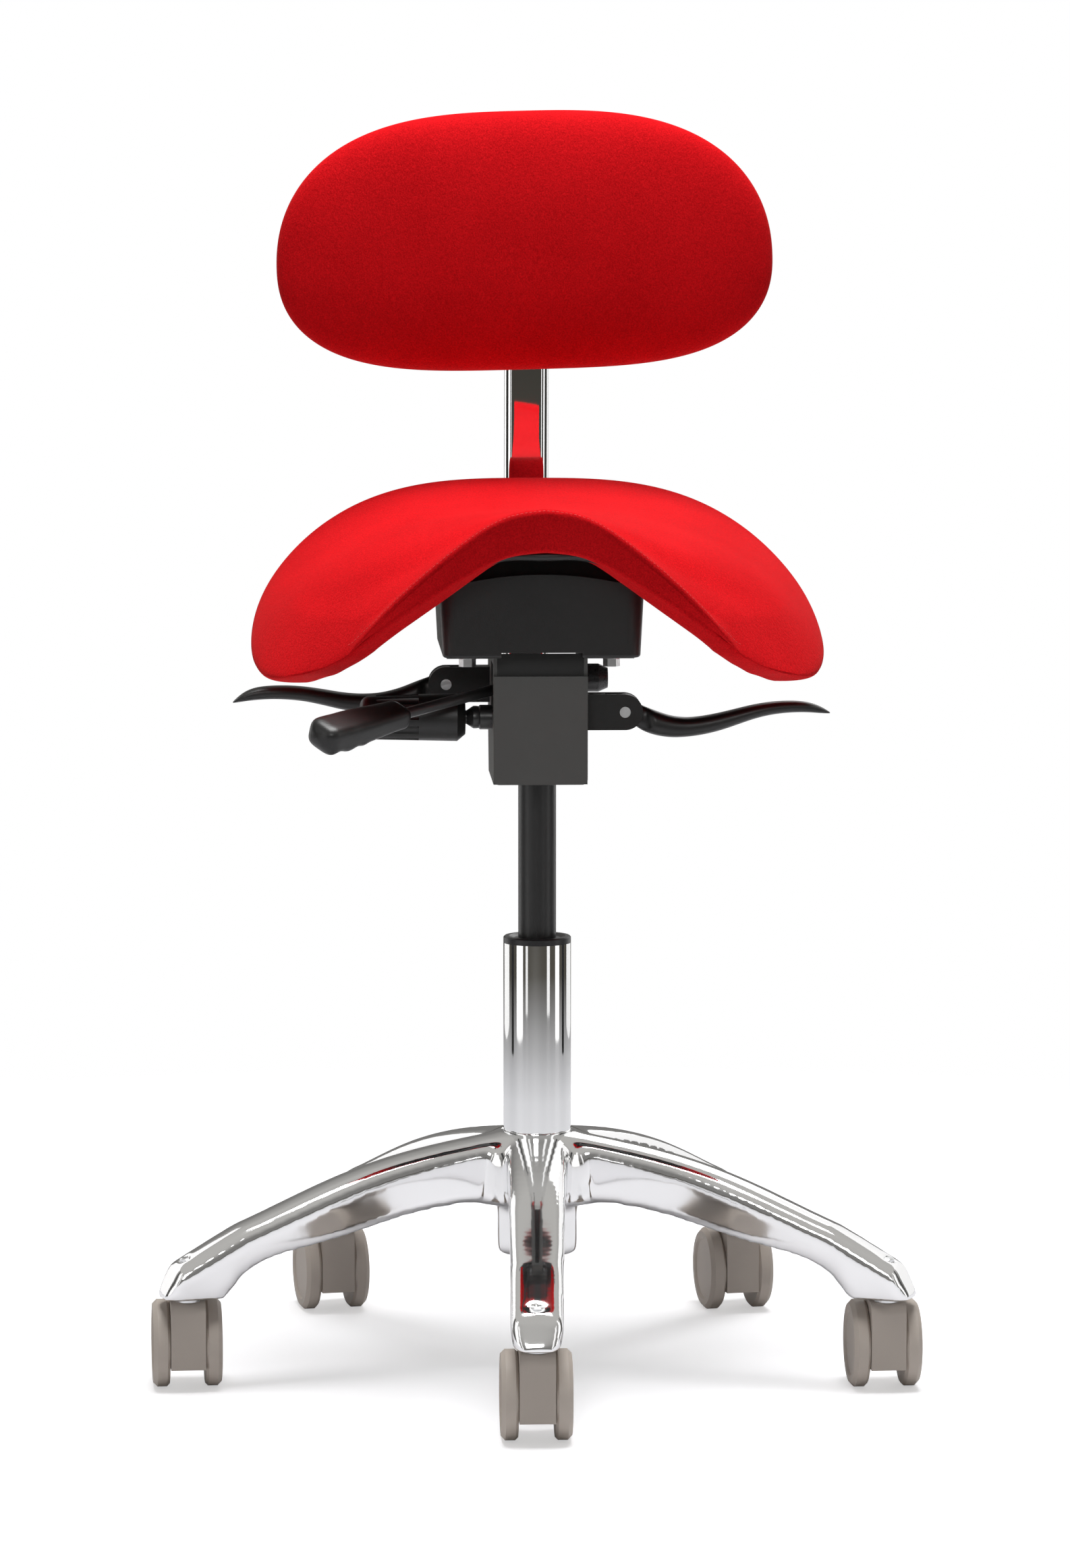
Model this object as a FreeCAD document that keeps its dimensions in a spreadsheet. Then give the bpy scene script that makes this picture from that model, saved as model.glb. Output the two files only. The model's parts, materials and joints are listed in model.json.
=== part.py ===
import FreeCAD, Part
import math
import os
import Sketcher
from FreeCAD import Placement, Rotation, Vector

# A saddle stool on a five-arm castor base, in millimetres. The origin is on the floor under the column,
# +Z is up, the sitter looks towards -Y and +X is on the viewer's right.

doc = FreeCAD.newDocument("SaddleStool")

# Driving sizes: name, value and what it is
SIZE_ROWS = [
    ("fit", 0.05, "radial clearance of a running fit"),
    ("soft_gap", 0.4, "air between a cushion and a piece that moves past it"),
    ("base_turn", -92.4, "direction of the first arm, degrees from +X"),
    ("arm_count", 5, "arms of the base, one castor each"),
    # castors
    ("caster_circle", 268, "radius of the circle of castor stems"),
    ("wheel_radius", 32, "castor wheel"),
    ("wheel_width", 12, "one wheel of the twin"),
    ("wheel_edge", 3, "chamfer of the tread"),
    ("wheel_dish", 1.6, "depth of the recess in the outer face"),
    ("wheel_rim", 4.5, "width of the rim round that recess"),
    ("caster_trail", 18, "wheel axle behind the stem"),
    ("hood_width", 25.4, "hood between the two wheels"),
    ("hood_low", 17, "lower edge of the hood"),
    ("hood_top", 66, "top of the hood"),
    ("hood_front", 13, "front face of the hood from the stem"),
    ("hood_round", 8, "rounded shoulder of the hood"),
    ("wheel_gap", 0.3, "air between hood and wheel"),
    ("stem_radius", 5.5, "stem in the arm and in the hood"),
    ("stem_collar", 9, "radius of the collar on the stem"),
    ("stem_bite", 30, "length of stem in the arm"),
    ("stem_drop", 26, "length of stem in the hood"),
    ("axle_radius", 4, "wheel axle"),
    # star base
    ("hub_top", 180, "top of the hub"),
    ("hub_rim", 28, "radius of the hub's top rim"),
    ("hub_shoulder", 49, "radius of the hub's skirt"),
    ("hub_shoulder_top", 163, "where the skirt starts to fall straight"),
    ("hub_skirt_low", 127, "lower edge of the skirt"),
    ("hub_boss", 30, "radius of the boss under the hub"),
    ("hub_low", 88, "lower end of the boss"),
    ("arm_facet", 12, "half width of the arm's top facet"),
    ("arm_crown", 1.4, "rise of the facet's centre crease"),
    ("arm_shoulder", 9, "fall of the rounded shoulder beside the facet"),
    ("arm_lean", 2.5, "how far the side wall leans in towards the floor"),
    ("arm_wall", 4.5, "wall of the hollow casting"),
    ("arm_skin", 6, "thickness of the casting's top"),
    ("pad_low", 68, "underside of the castor pad"),
    ("pad_inner", 24, "pad starts this far inside the stem"),
    ("pad_outer", 10, "top corner of the pad beyond the stem"),
    ("pad_tip", 21, "tip of the pad beyond the stem"),
    ("pad_tip_half", 14, "half width of the tip"),
    # column and gas spring
    ("tube_radius", 25, "outer tube of the column"),
    ("tube_foot_radius", 24, "lower end of the tube's taper"),
    ("tube_wall", 3, "wall of the tube"),
    ("tube_top", 319, "upper end of the tube"),
    ("tube_plate", 6, "plate that closes the tube's foot"),
    ("guide_low", 240, "lower end of the guide sleeve"),
    ("guide_collar", 5, "height of the guide's collar"),
    ("guide_dish", 1.5, "fall of the collar's top towards the cylinder"),
    ("cylinder_radius", 14, "pressure cylinder"),
    ("cylinder_wall", 2.5, "wall of the cylinder"),
    ("cylinder_low", 210, "lower end of the cylinder"),
    ("cylinder_taper", 44, "length of the taper at its top"),
    ("cylinder_taper_in", 0.8, "how much the taper draws in"),
    ("cylinder_plug", 14, "thickness of the cylinder's top"),
    ("gland", 8, "thickness of the rod gland"),
    ("rod_radius", 5, "piston rod"),
    ("piston_low", 250, "underside of the piston"),
    ("piston_height", 12, "height of the piston"),
    ("bearing_radius", 15, "thrust bearing"),
    ("bearing_height", 5, "height of the thrust bearing"),
    ("rod_flange", 2, "shoulder of the rod on the bearing"),
    ("clip_height", 3, "retaining clip under the tube"),
    ("release_radius", 4, "valve pin"),
    # mechanism box
    ("box_half", 31, "half width of the inner box"),
    ("box_low", 442, "underside of the mechanism"),
    ("box_top", 521, "top of the inner box"),
    ("box_front", 52, "front wall of the inner box from the column"),
    ("box_rear", 92, "rear end of the box from the column"),
    ("box_wall", 3, "sheet of the box"),
    ("box_corner", 4, "rounded lower corner"),
    ("socket_wall", 4, "wall of the taper socket"),
    ("tilt_y", 35, "tilt axle behind the column"),
    ("tilt_z", 512, "height of the tilt axle"),
    ("tilt_axle_radius", 5, "tilt axle"),
    ("tilt_head", 10.5, "radius of the axle's head"),
    ("tilt_head_length", 12.5, "straight part of the head"),
    ("tilt_head_cone", 7, "tapered end of the head"),
    ("shaft_y", -32, "lower shaft from the column"),
    ("shaft_z", 489, "height of the lower shaft"),
    ("shaft_radius", 6, "lower shaft"),
    ("shaft_slot", 13.5, "radius of the hole that lets the shaft swing"),
    # seat bracket
    ("bracket_gap", 0.3, "air between box and bracket"),
    ("bracket_wall", 2.9, "sheet of the bracket"),
    ("bracket_flange_half", 68, "half width over the flanges"),
    ("bracket_flange_thick", 2.2, "sheet of the flange"),
    ("bracket_front", 59, "front edge of the bracket walls"),
    ("bracket_rear", 62, "rear edge of the bracket walls"),
    ("bolt_x", 52.5, "bolts from the middle plane"),
    ("bolt_front", 40, "front bolts from the column"),
    ("bolt_rear", 45, "rear bolts from the column"),
    ("bolt_radius", 3, "shank of the bolts"),
    ("bolt_hex", 6.2, "radius over the corners of the hexagon head"),
    ("bolt_head", 5.5, "height of the head"),
    ("washer_radius", 6.5, "washer"),
    ("washer_thick", 1.6, "washer"),
    # housing and seat plate
    ("housing_low", 536, "underside of the housing"),
    ("housing_half", 71.5, "half width at the underside"),
    ("housing_draft", 3, "draft of the housing's walls, degrees"),
    ("housing_front", 85, "front wall from the column"),
    ("housing_rear", 85, "rear wall from the column"),
    ("housing_corner", 10, "upright corners of the housing"),
    ("housing_edge", 2.5, "rounded lower edge"),
    ("housing_wall", 3, "wall of the moulding"),
    ("housing_side_top", 577, "top of the side walls"),
    ("housing_brow", 600, "top of the front wall in the middle"),
    ("housing_brow_fall", 20, "fall of the front wall from its middle to its corners"),
    ("housing_brow_depth", 15, "the brow runs this far back along the sides"),
    ("housing_recess", 4, "raised middle of the floor"),
    ("plate_half", 88, "half width of the seat plate"),
    ("plate_front", 45, "front edge of the seat plate"),
    ("plate_rear", 70, "rear edge of the seat plate"),
    ("plate_thick", 4, "seat plate"),
    ("plate_corner", 18, "corners of the seat plate"),
    # seat
    ("seat_half_length", 150, "half length of the seat"),
    ("seat_half_width", 210, "half width of the seat"),
    ("seat_dip", 639, "lowest point of the middle line"),
    ("seat_pommel_rise", 7, "rise of the middle line to the front"),
    ("seat_cantle_rise", 16, "rise of the middle line to the rear"),
    ("seat_drawn_width", 210, "half width at which the falls below are measured"),
    ("seat_ridge", 31, "half width of the level pommel"),
    ("seat_shoulder", 8, "rounding from the pommel into its slope"),
    ("seat_front_slope", 0.815, "fall of the front edge beside the pommel"),
    ("seat_wing_fall", 15, "extra fall of the front edge at the wings"),
    ("seat_rear_fall", 66.8, "fall of the rear arch at full width"),
    ("seat_fade", 60, "length over which the front arch fades to the rear one"),
    ("seat_edge_round", 25, "radius of the wing's outer edge"),
    ("seat_fascia", 31, "height of the front band in the middle"),
    ("seat_thick", 33, "thickness of the seat cushion"),
    ("seat_wing_low", 512, "lowest edge of the wings"),
    ("shell_thick", 5, "thickness of the shell under the cushion"),
    ("shell_inset", 9, "shell edge inside the cushion edge"),
    ("shell_boss_half", 58, "half width of the shell's boss"),
    # wing levers
    ("lever_depth", 22, "depth of a wing lever"),
    ("lever_eye", 12.7, "round eye of a wing lever"),
    ("lever_pin_radius", 4, "pin of a wing lever"),
    ("lever_reach", 151, "tip of the right lever from its pin"),
    ("left_lever_reach", 151, "tip of the left lever from its pin"),
    ("lever_tongue", 13, "thickness of a lever's eye between the cheeks"),
    ("cheek_radius", 13, "rounded end of the mount's cheeks"),
    ("lever_edge", 1.5, "rounded edge of a wing lever"),
    ("right_pin_x", 62.5, "pin of the right lever"),
    ("right_pin_z", 493, "pin of the right lever"),
    ("left_pin_x", 66.4, "pin of the left lever"),
    ("left_pin_z", 508, "pin of the left lever"),
    ("left_droop", 4.3, "how far the left lever hangs lower, degrees"),
    ("left_lever_y", 35, "left lever behind the column"),
    ("right_lever_y", -32, "right lever in front of the column"),
    # tension knob
    ("knob_radius", 17.5, "tension knob"),
    ("knob_start", 54, "inner end of the knob from the middle plane"),
    ("knob_length", 77, "length of the knob"),
    ("knob_core", 12, "solid core of the knob"),
    ("knob_fall", 1.5, "how much thinner the knob's outer end is"),
    ("flute_radius", 5, "flutes of the knob"),
    ("flute_count", 9, "flutes round the knob"),
    ("flute_length", 31, "length of a flute"),
    ("shaft_collar", 9, "collar on the lower shaft"),
    ("shaft_ball", 8, "ball beside the collar"),
    ("shaft_tip", 5, "end of the shaft inside the knob"),
    # height lever
    ("lever_rod_radius", 4, "rod of the height lever"),
    ("lever_turn", 42.7, "direction of the rod in plan, degrees from -X"),
    ("lever_fall", 7.5, "fall of the rod, degrees"),
    ("lever_rod_length", 150, "rod from its pivot to its outer end"),
    ("lever_tail", 21, "rod from its pivot to the valve pin"),
    ("lever_pivot_z", 512, "height of the pivot"),
    ("grip_start", 116, "inner end of the grip from the pivot"),
    ("grip_length", 86, "length of the grip"),
    ("grip_height", 19, "height of the grip"),
    ("grip_width", 22, "width of the grip"),
    ("grip_scallop", 11, "radius of the finger hollows"),
    # back
    ("yoke_y", 75, "back pivot behind the column"),
    ("yoke_z", 470, "height of the back pivot"),
    ("yoke_pin_radius", 5, "pin of the back pivot"),
    ("yoke_half", 24, "half width of the yoke"),
    ("yoke_height", 30, "height of the yoke"),
    ("yoke_length", 46, "length of the yoke behind the pin"),
    ("bar_width", 34, "width of the back bar"),
    ("bar_thick", 15, "thickness of the back bar"),
    ("bar_bend", 55, "radius of the bend on the bar's middle line"),
    ("bar_run", 83.5, "level run from the pivot to the bend"),
    ("bar_lean", 4.3, "upright leans this far forward, degrees"),
    ("bar_rise", 372, "length of the upright"),
    ("carriage_half", 30, "half width of the carriage"),
    ("carriage_height", 70, "height of the carriage"),
    ("carriage_wall", 7, "wall of the carriage before and behind the bar"),
    ("carriage_centre", 306, "carriage along the upright"),
    ("slide_fit", 0.12, "clearance of the carriage on the bar"),
    ("back_knob_radius", 20, "clamp knob"),
    ("back_knob_length", 22, "clamp knob"),
    ("back_screw", 5, "screw of the clamp knob"),
    ("pad_pin_radius", 5, "pin that carries the back pad"),
    ("pad_pin_offset", 14, "pin in front of the carriage's face"),
    ("ear_thick", 7, "ears on the carriage and the back shell"),
    ("ear_x", 22, "carriage ears from the middle plane"),
    ("back_half_width", 190, "half width of the back pad"),
    ("back_top", 934, "top of the back pad"),
    ("back_low", 736, "lowest edge of the back pad"),
    ("back_widest", 818, "height where the pad is widest"),
    ("back_front", 105, "front of the back pad behind the column"),
    ("back_thick", 38, "thickness of the back pad"),
    ("back_edge_thick", 22, "thickness of the pad at its ends"),
    ("back_shell_thick", 7, "shell behind the pad"),
    ("back_shell_inset", 12, "shell edge inside the pad edge"),
]

# Stations of an arm: distance from the column, top, underside and half width
ARM_ROWS = {
    "root": (29, 179, 133, 22),
    "near": (62, 174, 128.5, 22),
    "middle": (120, 162, 118.5, 21.2),
    "bend": (180, 141, 103, 20.3),
    "neck": (216, 126, 93.5, 19.6),
    "heel": (229, 121, 86, 19.3),
}
PAD_TOPS = {"inner": 113, "outer": 94, "tip": 70}

sheet = doc.addObject("Spreadsheet::Sheet", "Sizes")


class Size:
    """A number together with the spreadsheet formula that gives it."""

    def __init__(self, value, text):
        self.value = float(value)
        self.text = text

    def __add__(self, other):
        other = as_size(other)
        return Size(self.value + other.value, "(%s + %s)" % (self.text, other.text))

    def __sub__(self, other):
        other = as_size(other)
        return Size(self.value - other.value, "(%s - %s)" % (self.text, other.text))

    def __mul__(self, other):
        other = as_size(other)
        return Size(self.value * other.value, "(%s * %s)" % (self.text, other.text))

    def __truediv__(self, other):
        other = as_size(other)
        return Size(self.value / other.value, "(%s / %s)" % (self.text, other.text))

    def __radd__(self, other):
        return as_size(other) + self

    def __rsub__(self, other):
        return as_size(other) - self

    def __rmul__(self, other):
        return as_size(other) * self

    def __neg__(self):
        return Size(-self.value, "(0 - %s)" % self.text)


def as_size(amount):
    """A plain number as a Size; a Size stays as it is."""
    if isinstance(amount, Size):
        return amount
    return Size(amount, "(%r)" % float(amount))


class Named:
    """Holds each driving size under its own name."""


def write_row(name, value, note):
    """One row of the sheet, and the Size of the same name."""
    write_row.count += 1
    row = write_row.count
    sheet.set("A%d" % row, name)
    sheet.set("B%d" % row, str(value))
    sheet.setAlias("B%d" % row, name)
    sheet.set("C%d" % row, note)
    setattr(Z, name, Size(value, "Sizes.%s" % name))


Z = Named()
write_row.count = 0
for size_name, size_value, size_note in SIZE_ROWS:
    write_row(size_name, size_value, size_note)
for station, (reach, top, low, half) in ARM_ROWS.items():
    write_row("arm_%s_reach" % station, reach, "arm station, distance from the column")
    write_row("arm_%s_top" % station, top, "arm station, top")
    write_row("arm_%s_low" % station, low, "arm station, underside")
    write_row("arm_%s_half" % station, half, "arm station, half width")
for station, top in PAD_TOPS.items():
    write_row("castor_pad_%s_top" % station, top, "castor pad, top")
doc.recompute()

PARTS = []


def keep(thing, label):
    """Names a finished sub-part and puts it on the list of what is written."""
    thing.Label = label
    PARTS.append(thing)
    return thing


def bind(thing, prop, amount):
    """Ties a property to the sheet."""
    thing.setExpression(prop, as_size(amount).text)


def place(thing, x=0, y=0, z=0, axis=(0, 0, 1), angle=0):
    """Turns a sub-part about an axis and ties its place to the sheet."""
    x, y, z = as_size(x), as_size(y), as_size(z)
    thing.Placement = Placement(
        Vector(x.value, y.value, z.value), Rotation(Vector(*axis), as_size(angle).value)
    )
    bind(thing, "Placement.Base.x", x)
    bind(thing, "Placement.Base.y", y)
    bind(thing, "Placement.Base.z", z)
    return thing


def new_body(name):
    """A PartDesign body that becomes one sub-part."""
    return keep(doc.addObject("PartDesign::Body", name), name)


def origin(body, role):
    """One of the body's own planes or axes."""
    return [item for item in body.Origin.OriginFeatures if item.Role == role][0]


def outline(body, plane, points, shift=0, name="Outline"):
    """A closed sketch. A point with a third value is reached by an arc of that radius,
    counter-clockwise where the radius is positive."""
    sketch = body.newObject("Sketcher::SketchObject", name)
    sketch.AttachmentSupport = (origin(body, plane + "_Plane"), [""])
    sketch.MapMode = "FlatFace"
    bind(sketch, "AttachmentOffset.Base.z", shift)
    corners = [[as_size(value) for value in point] for point in points]
    count = len(corners)
    edges = []
    for index in range(count):
        first, last = corners[index], corners[(index + 1) % count]
        start = Vector(first[0].value, first[1].value, 0)
        end = Vector(last[0].value, last[1].value, 0)
        if len(last) == 2:
            edges.append(Part.LineSegment(start, end))
            continue
        radius = abs(last[2].value)
        side = 1 if last[2].value > 0 else -1
        chord = end - start
        across = Vector(-chord.y, chord.x, 0).normalize()
        height = math.sqrt(max(radius**2 - chord.Length**2 / 4, 0))
        middle = (start + end) / 2 - across * side * (radius - height)
        edges.append(Part.Arc(start, middle, end))
    for edge in edges:
        sketch.addGeometry(edge, False)
    turned = []
    for index in range(count):
        last = corners[(index + 1) % count]
        backwards = len(last) == 3 and last[2].value < 0
        turned.append((2, 1) if backwards else (1, 2))
    for index in range(count):
        after = (index + 1) % count
        sketch.addConstraint(
            Sketcher.Constraint("Coincident", index, turned[index][1], after, turned[after][0])
        )
    for index, corner in enumerate(corners):
        for kind, value in (("DistanceX", corner[0]), ("DistanceY", corner[1])):
            rule = Sketcher.Constraint(kind, -1, 1, index, turned[index][0], value.value)
            bind(sketch, "Constraints[%d]" % sketch.addConstraint(rule), value)
    for index in range(count):
        last = corners[(index + 1) % count]
        if len(last) == 3:
            rule = Sketcher.Constraint("Radius", index, abs(last[2].value))
            radius = last[2] if last[2].value > 0 else -last[2]
            bind(sketch, "Constraints[%d]" % sketch.addConstraint(rule), radius)
    return sketch


def revolve(body, sketch):
    """A turned solid about the sketch's upright axis."""
    solid = body.newObject("PartDesign::Revolution", "Turned")
    solid.Profile = sketch
    solid.ReferenceAxis = (sketch, ["V_Axis"])
    solid.Angle = 360
    return solid


def turned_body(name, points):
    """A body turned about Z from its half section, points as (radius, height)."""
    body = new_body(name)
    revolve(body, outline(body, "XZ", points))
    return body


def pad(body, sketch, length, both_ways=False):
    """Extrudes a sketch."""
    solid = body.newObject("PartDesign::Pad", "Pad")
    solid.Profile = sketch
    solid.Midplane = both_ways
    bind(solid, "Length", length)
    return solid


def cut_through(body, sketch):
    """Cuts a sketch through the whole piece, both ways."""
    hole = body.newObject("PartDesign::Pocket", "Opening")
    hole.Profile = sketch
    hole.Type = 1
    hole.Midplane = True
    return hole


def bore(body, radius, length, x=0, y=0, z=0, axis=(0, 0, 1), angle=0):
    """A round hole that starts at x, y, z and runs along the turned Z axis."""
    hole = body.newObject("PartDesign::SubtractiveCylinder", "Bore")
    bind(hole, "Radius", radius)
    bind(hole, "Height", length)
    return place(hole, x, y, z, axis, angle)


def boss(body, radius, length, x=0, y=0, z=0, axis=(0, 0, 1), angle=0):
    """A round boss that starts at x, y, z and runs along the turned Z axis."""
    solid = body.newObject("PartDesign::AdditiveCylinder", "Boss")
    bind(solid, "Radius", radius)
    bind(solid, "Height", length)
    return place(solid, x, y, z, axis, angle)


def block(body, kind, long, wide, high, x, y, z, axis=(0, 0, 1), angle=0):
    """An additive or subtractive box from its lowest corner."""
    solid = body.newObject("PartDesign::%sBox" % kind, "Block")
    bind(solid, "Length", long)
    bind(solid, "Width", wide)
    bind(solid, "Height", high)
    return place(solid, x, y, z, axis, angle)


def fillet(body, radius, chosen):
    """Rounds the edges of the body's last feature that the test chooses."""
    doc.recompute()
    base = body.Tip
    names = ["Edge%d" % (n + 1) for n, edge in enumerate(base.Shape.Edges) if chosen(edge)]
    rounded = body.newObject("PartDesign::Fillet", "Rounding")
    rounded.Base = (base, names)
    bind(rounded, "Radius", radius)
    return rounded


def spread(edge, direction):
    """How long an edge is along X, Y or Z."""
    box = edge.BoundBox
    return {"x": box.XLength, "y": box.YLength, "z": box.ZLength}[direction]


def circle_pattern(body, features, count):
    """Repeats features round the body's Z axis."""
    pattern = body.newObject("PartDesign::PolarPattern", "Repeat")
    pattern.Originals = features
    pattern.Axis = (origin(body, "Z_Axis"), [""])
    pattern.Angle = 360
    bind(pattern, "Occurrences", count)
    body.Tip = pattern
    return pattern


def cylinder(label, radius, length, x=0, y=0, z=0, axis=(0, 0, 1), angle=0):
    """A plain round pin as a primitive."""
    pin = doc.addObject("Part::Cylinder", label)
    bind(pin, "Radius", radius)
    bind(pin, "Height", length)
    return place(pin, x, y, z, axis, angle)


def fuse(label, pieces):
    """Joins primitives to one solid."""
    whole = doc.addObject("Part::MultiFuse", label)
    whole.Shapes = pieces
    whole.Refine = True
    return whole


ALONG_X = {"axis": (0, 1, 0), "angle": 90}
AGAINST_X = {"axis": (0, 1, 0), "angle": -90}
ALONG_Y = {"axis": (1, 0, 0), "angle": -90}

# Only the long edges of the levers and the grip are rounded
LONG_EDGE = 28


# Star base: a turned hub, and arms lofted through their stations and repeated round it


def arm_section(body, reach, top, low, half):
    """Section of an arm, square to it: creased facet, round shoulders and leaning side walls."""
    side = top - Z.arm_shoulder
    foot = half - Z.arm_lean
    facet = Z.arm_facet
    shoulder_radius = Z.arm_shoulder * 1.15
    return outline(
        body,
        "YZ",
        [
            (-foot, low),
            (foot, low),
            (half, side),
            (facet, top - Z.arm_crown, shoulder_radius),
            (0, top),
            (-facet, top - Z.arm_crown),
            (-half, side, shoulder_radius),
        ],
        reach,
    )


def loft(body, kind, sections, ruled):
    """Lofts through sketches, adding or removing."""
    solid = body.newObject("PartDesign::%sLoft" % kind, "Loft")
    solid.Profile = sections[0]
    solid.Sections = sections[1:]
    solid.Ruled = ruled
    return solid


def star_base():
    body = new_body("star_base")
    # the boss comes first, upright in the body, so that the arms repeat round the true Z axis
    boss(body, Z.hub_boss, Z.hub_skirt_low - Z.hub_low, 0, 0, Z.hub_low)
    top = outline(
        body,
        "XZ",
        [
            (Z.tube_foot_radius + Z.fit, Z.hub_low),
            (Z.hub_boss, Z.hub_low),
            (Z.hub_boss, Z.hub_skirt_low),
            (Z.hub_shoulder, Z.hub_skirt_low),
            (Z.hub_shoulder, Z.hub_shoulder_top),
            (Z.hub_rim + 3, Z.hub_top - 2, 26),
            (Z.hub_rim, Z.hub_top),
            (Z.tube_radius + Z.fit, Z.hub_top),
            (Z.tube_foot_radius + Z.fit, Z.hub_skirt_low),
        ],
    )
    revolve(body, top)
    stations = [
        arm_section(
            body,
            getattr(Z, "arm_%s_reach" % name),
            getattr(Z, "arm_%s_top" % name),
            getattr(Z, "arm_%s_low" % name),
            getattr(Z, "arm_%s_half" % name),
        )
        for name in ARM_ROWS
    ]
    arm = loft(body, "Additive", stations, False)
    heel = Z.arm_heel_half
    pad_sections = [
        arm_section(body, Z.arm_heel_reach, Z.arm_heel_top, Z.arm_heel_low, heel),
        arm_section(body, Z.caster_circle - Z.pad_inner, Z.castor_pad_inner_top, Z.pad_low, heel),
        arm_section(body, Z.caster_circle + Z.pad_outer, Z.castor_pad_outer_top, Z.pad_low, heel),
    ]
    pad_body = loft(body, "Additive", pad_sections, True)
    tip_sections = [
        arm_section(body, Z.caster_circle + Z.pad_outer, Z.castor_pad_outer_top, Z.pad_low, heel),
        outline(
            body,
            "YZ",
            [
                (Z.arm_lean - Z.pad_tip_half, Z.pad_low),
                (Z.pad_tip_half - Z.arm_lean, Z.pad_low),
                (Z.pad_tip_half, Z.castor_pad_tip_top - 1),
                (Z.arm_facet, Z.castor_pad_tip_top, 3),
                (0, Z.castor_pad_tip_top + Z.arm_crown / 2),
                (-Z.arm_facet, Z.castor_pad_tip_top),
                (-Z.pad_tip_half, Z.castor_pad_tip_top - 1, 3),
            ],
            Z.caster_circle + Z.pad_tip,
        ),
    ]
    tip = loft(body, "Additive", tip_sections, True)
    hollow_sections = []
    for name in list(ARM_ROWS)[1:-1]:
        half = getattr(Z, "arm_%s_half" % name) - Z.arm_wall - Z.arm_lean
        ceiling = getattr(Z, "arm_%s_top" % name) - Z.arm_skin
        low = getattr(Z, "arm_%s_low" % name) - 20
        corners = [(-half, low), (half, low), (half - 3, ceiling), (3 - half, ceiling)]
        hollow_sections.append(outline(body, "YZ", corners, getattr(Z, "arm_%s_reach" % name)))
    hollow = loft(body, "Subtractive", hollow_sections, True)
    stem_hole = bore(body, Z.stem_radius + Z.fit, Z.stem_bite + 10, Z.caster_circle, 0, Z.pad_low - 10)
    circle_pattern(body, [arm, pad_body, tip, hollow, stem_hole], Z.arm_count)
    clear = bore(body, Z.tube_foot_radius + Z.fit, Z.hub_top - Z.hub_low, 0, 0, Z.hub_low)
    body.Tip = clear
    place(body, 0, 0, 0, (0, 0, 1), Z.base_turn)


# Castors: stem, hood, axle and two wheels at the end of each arm


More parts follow.
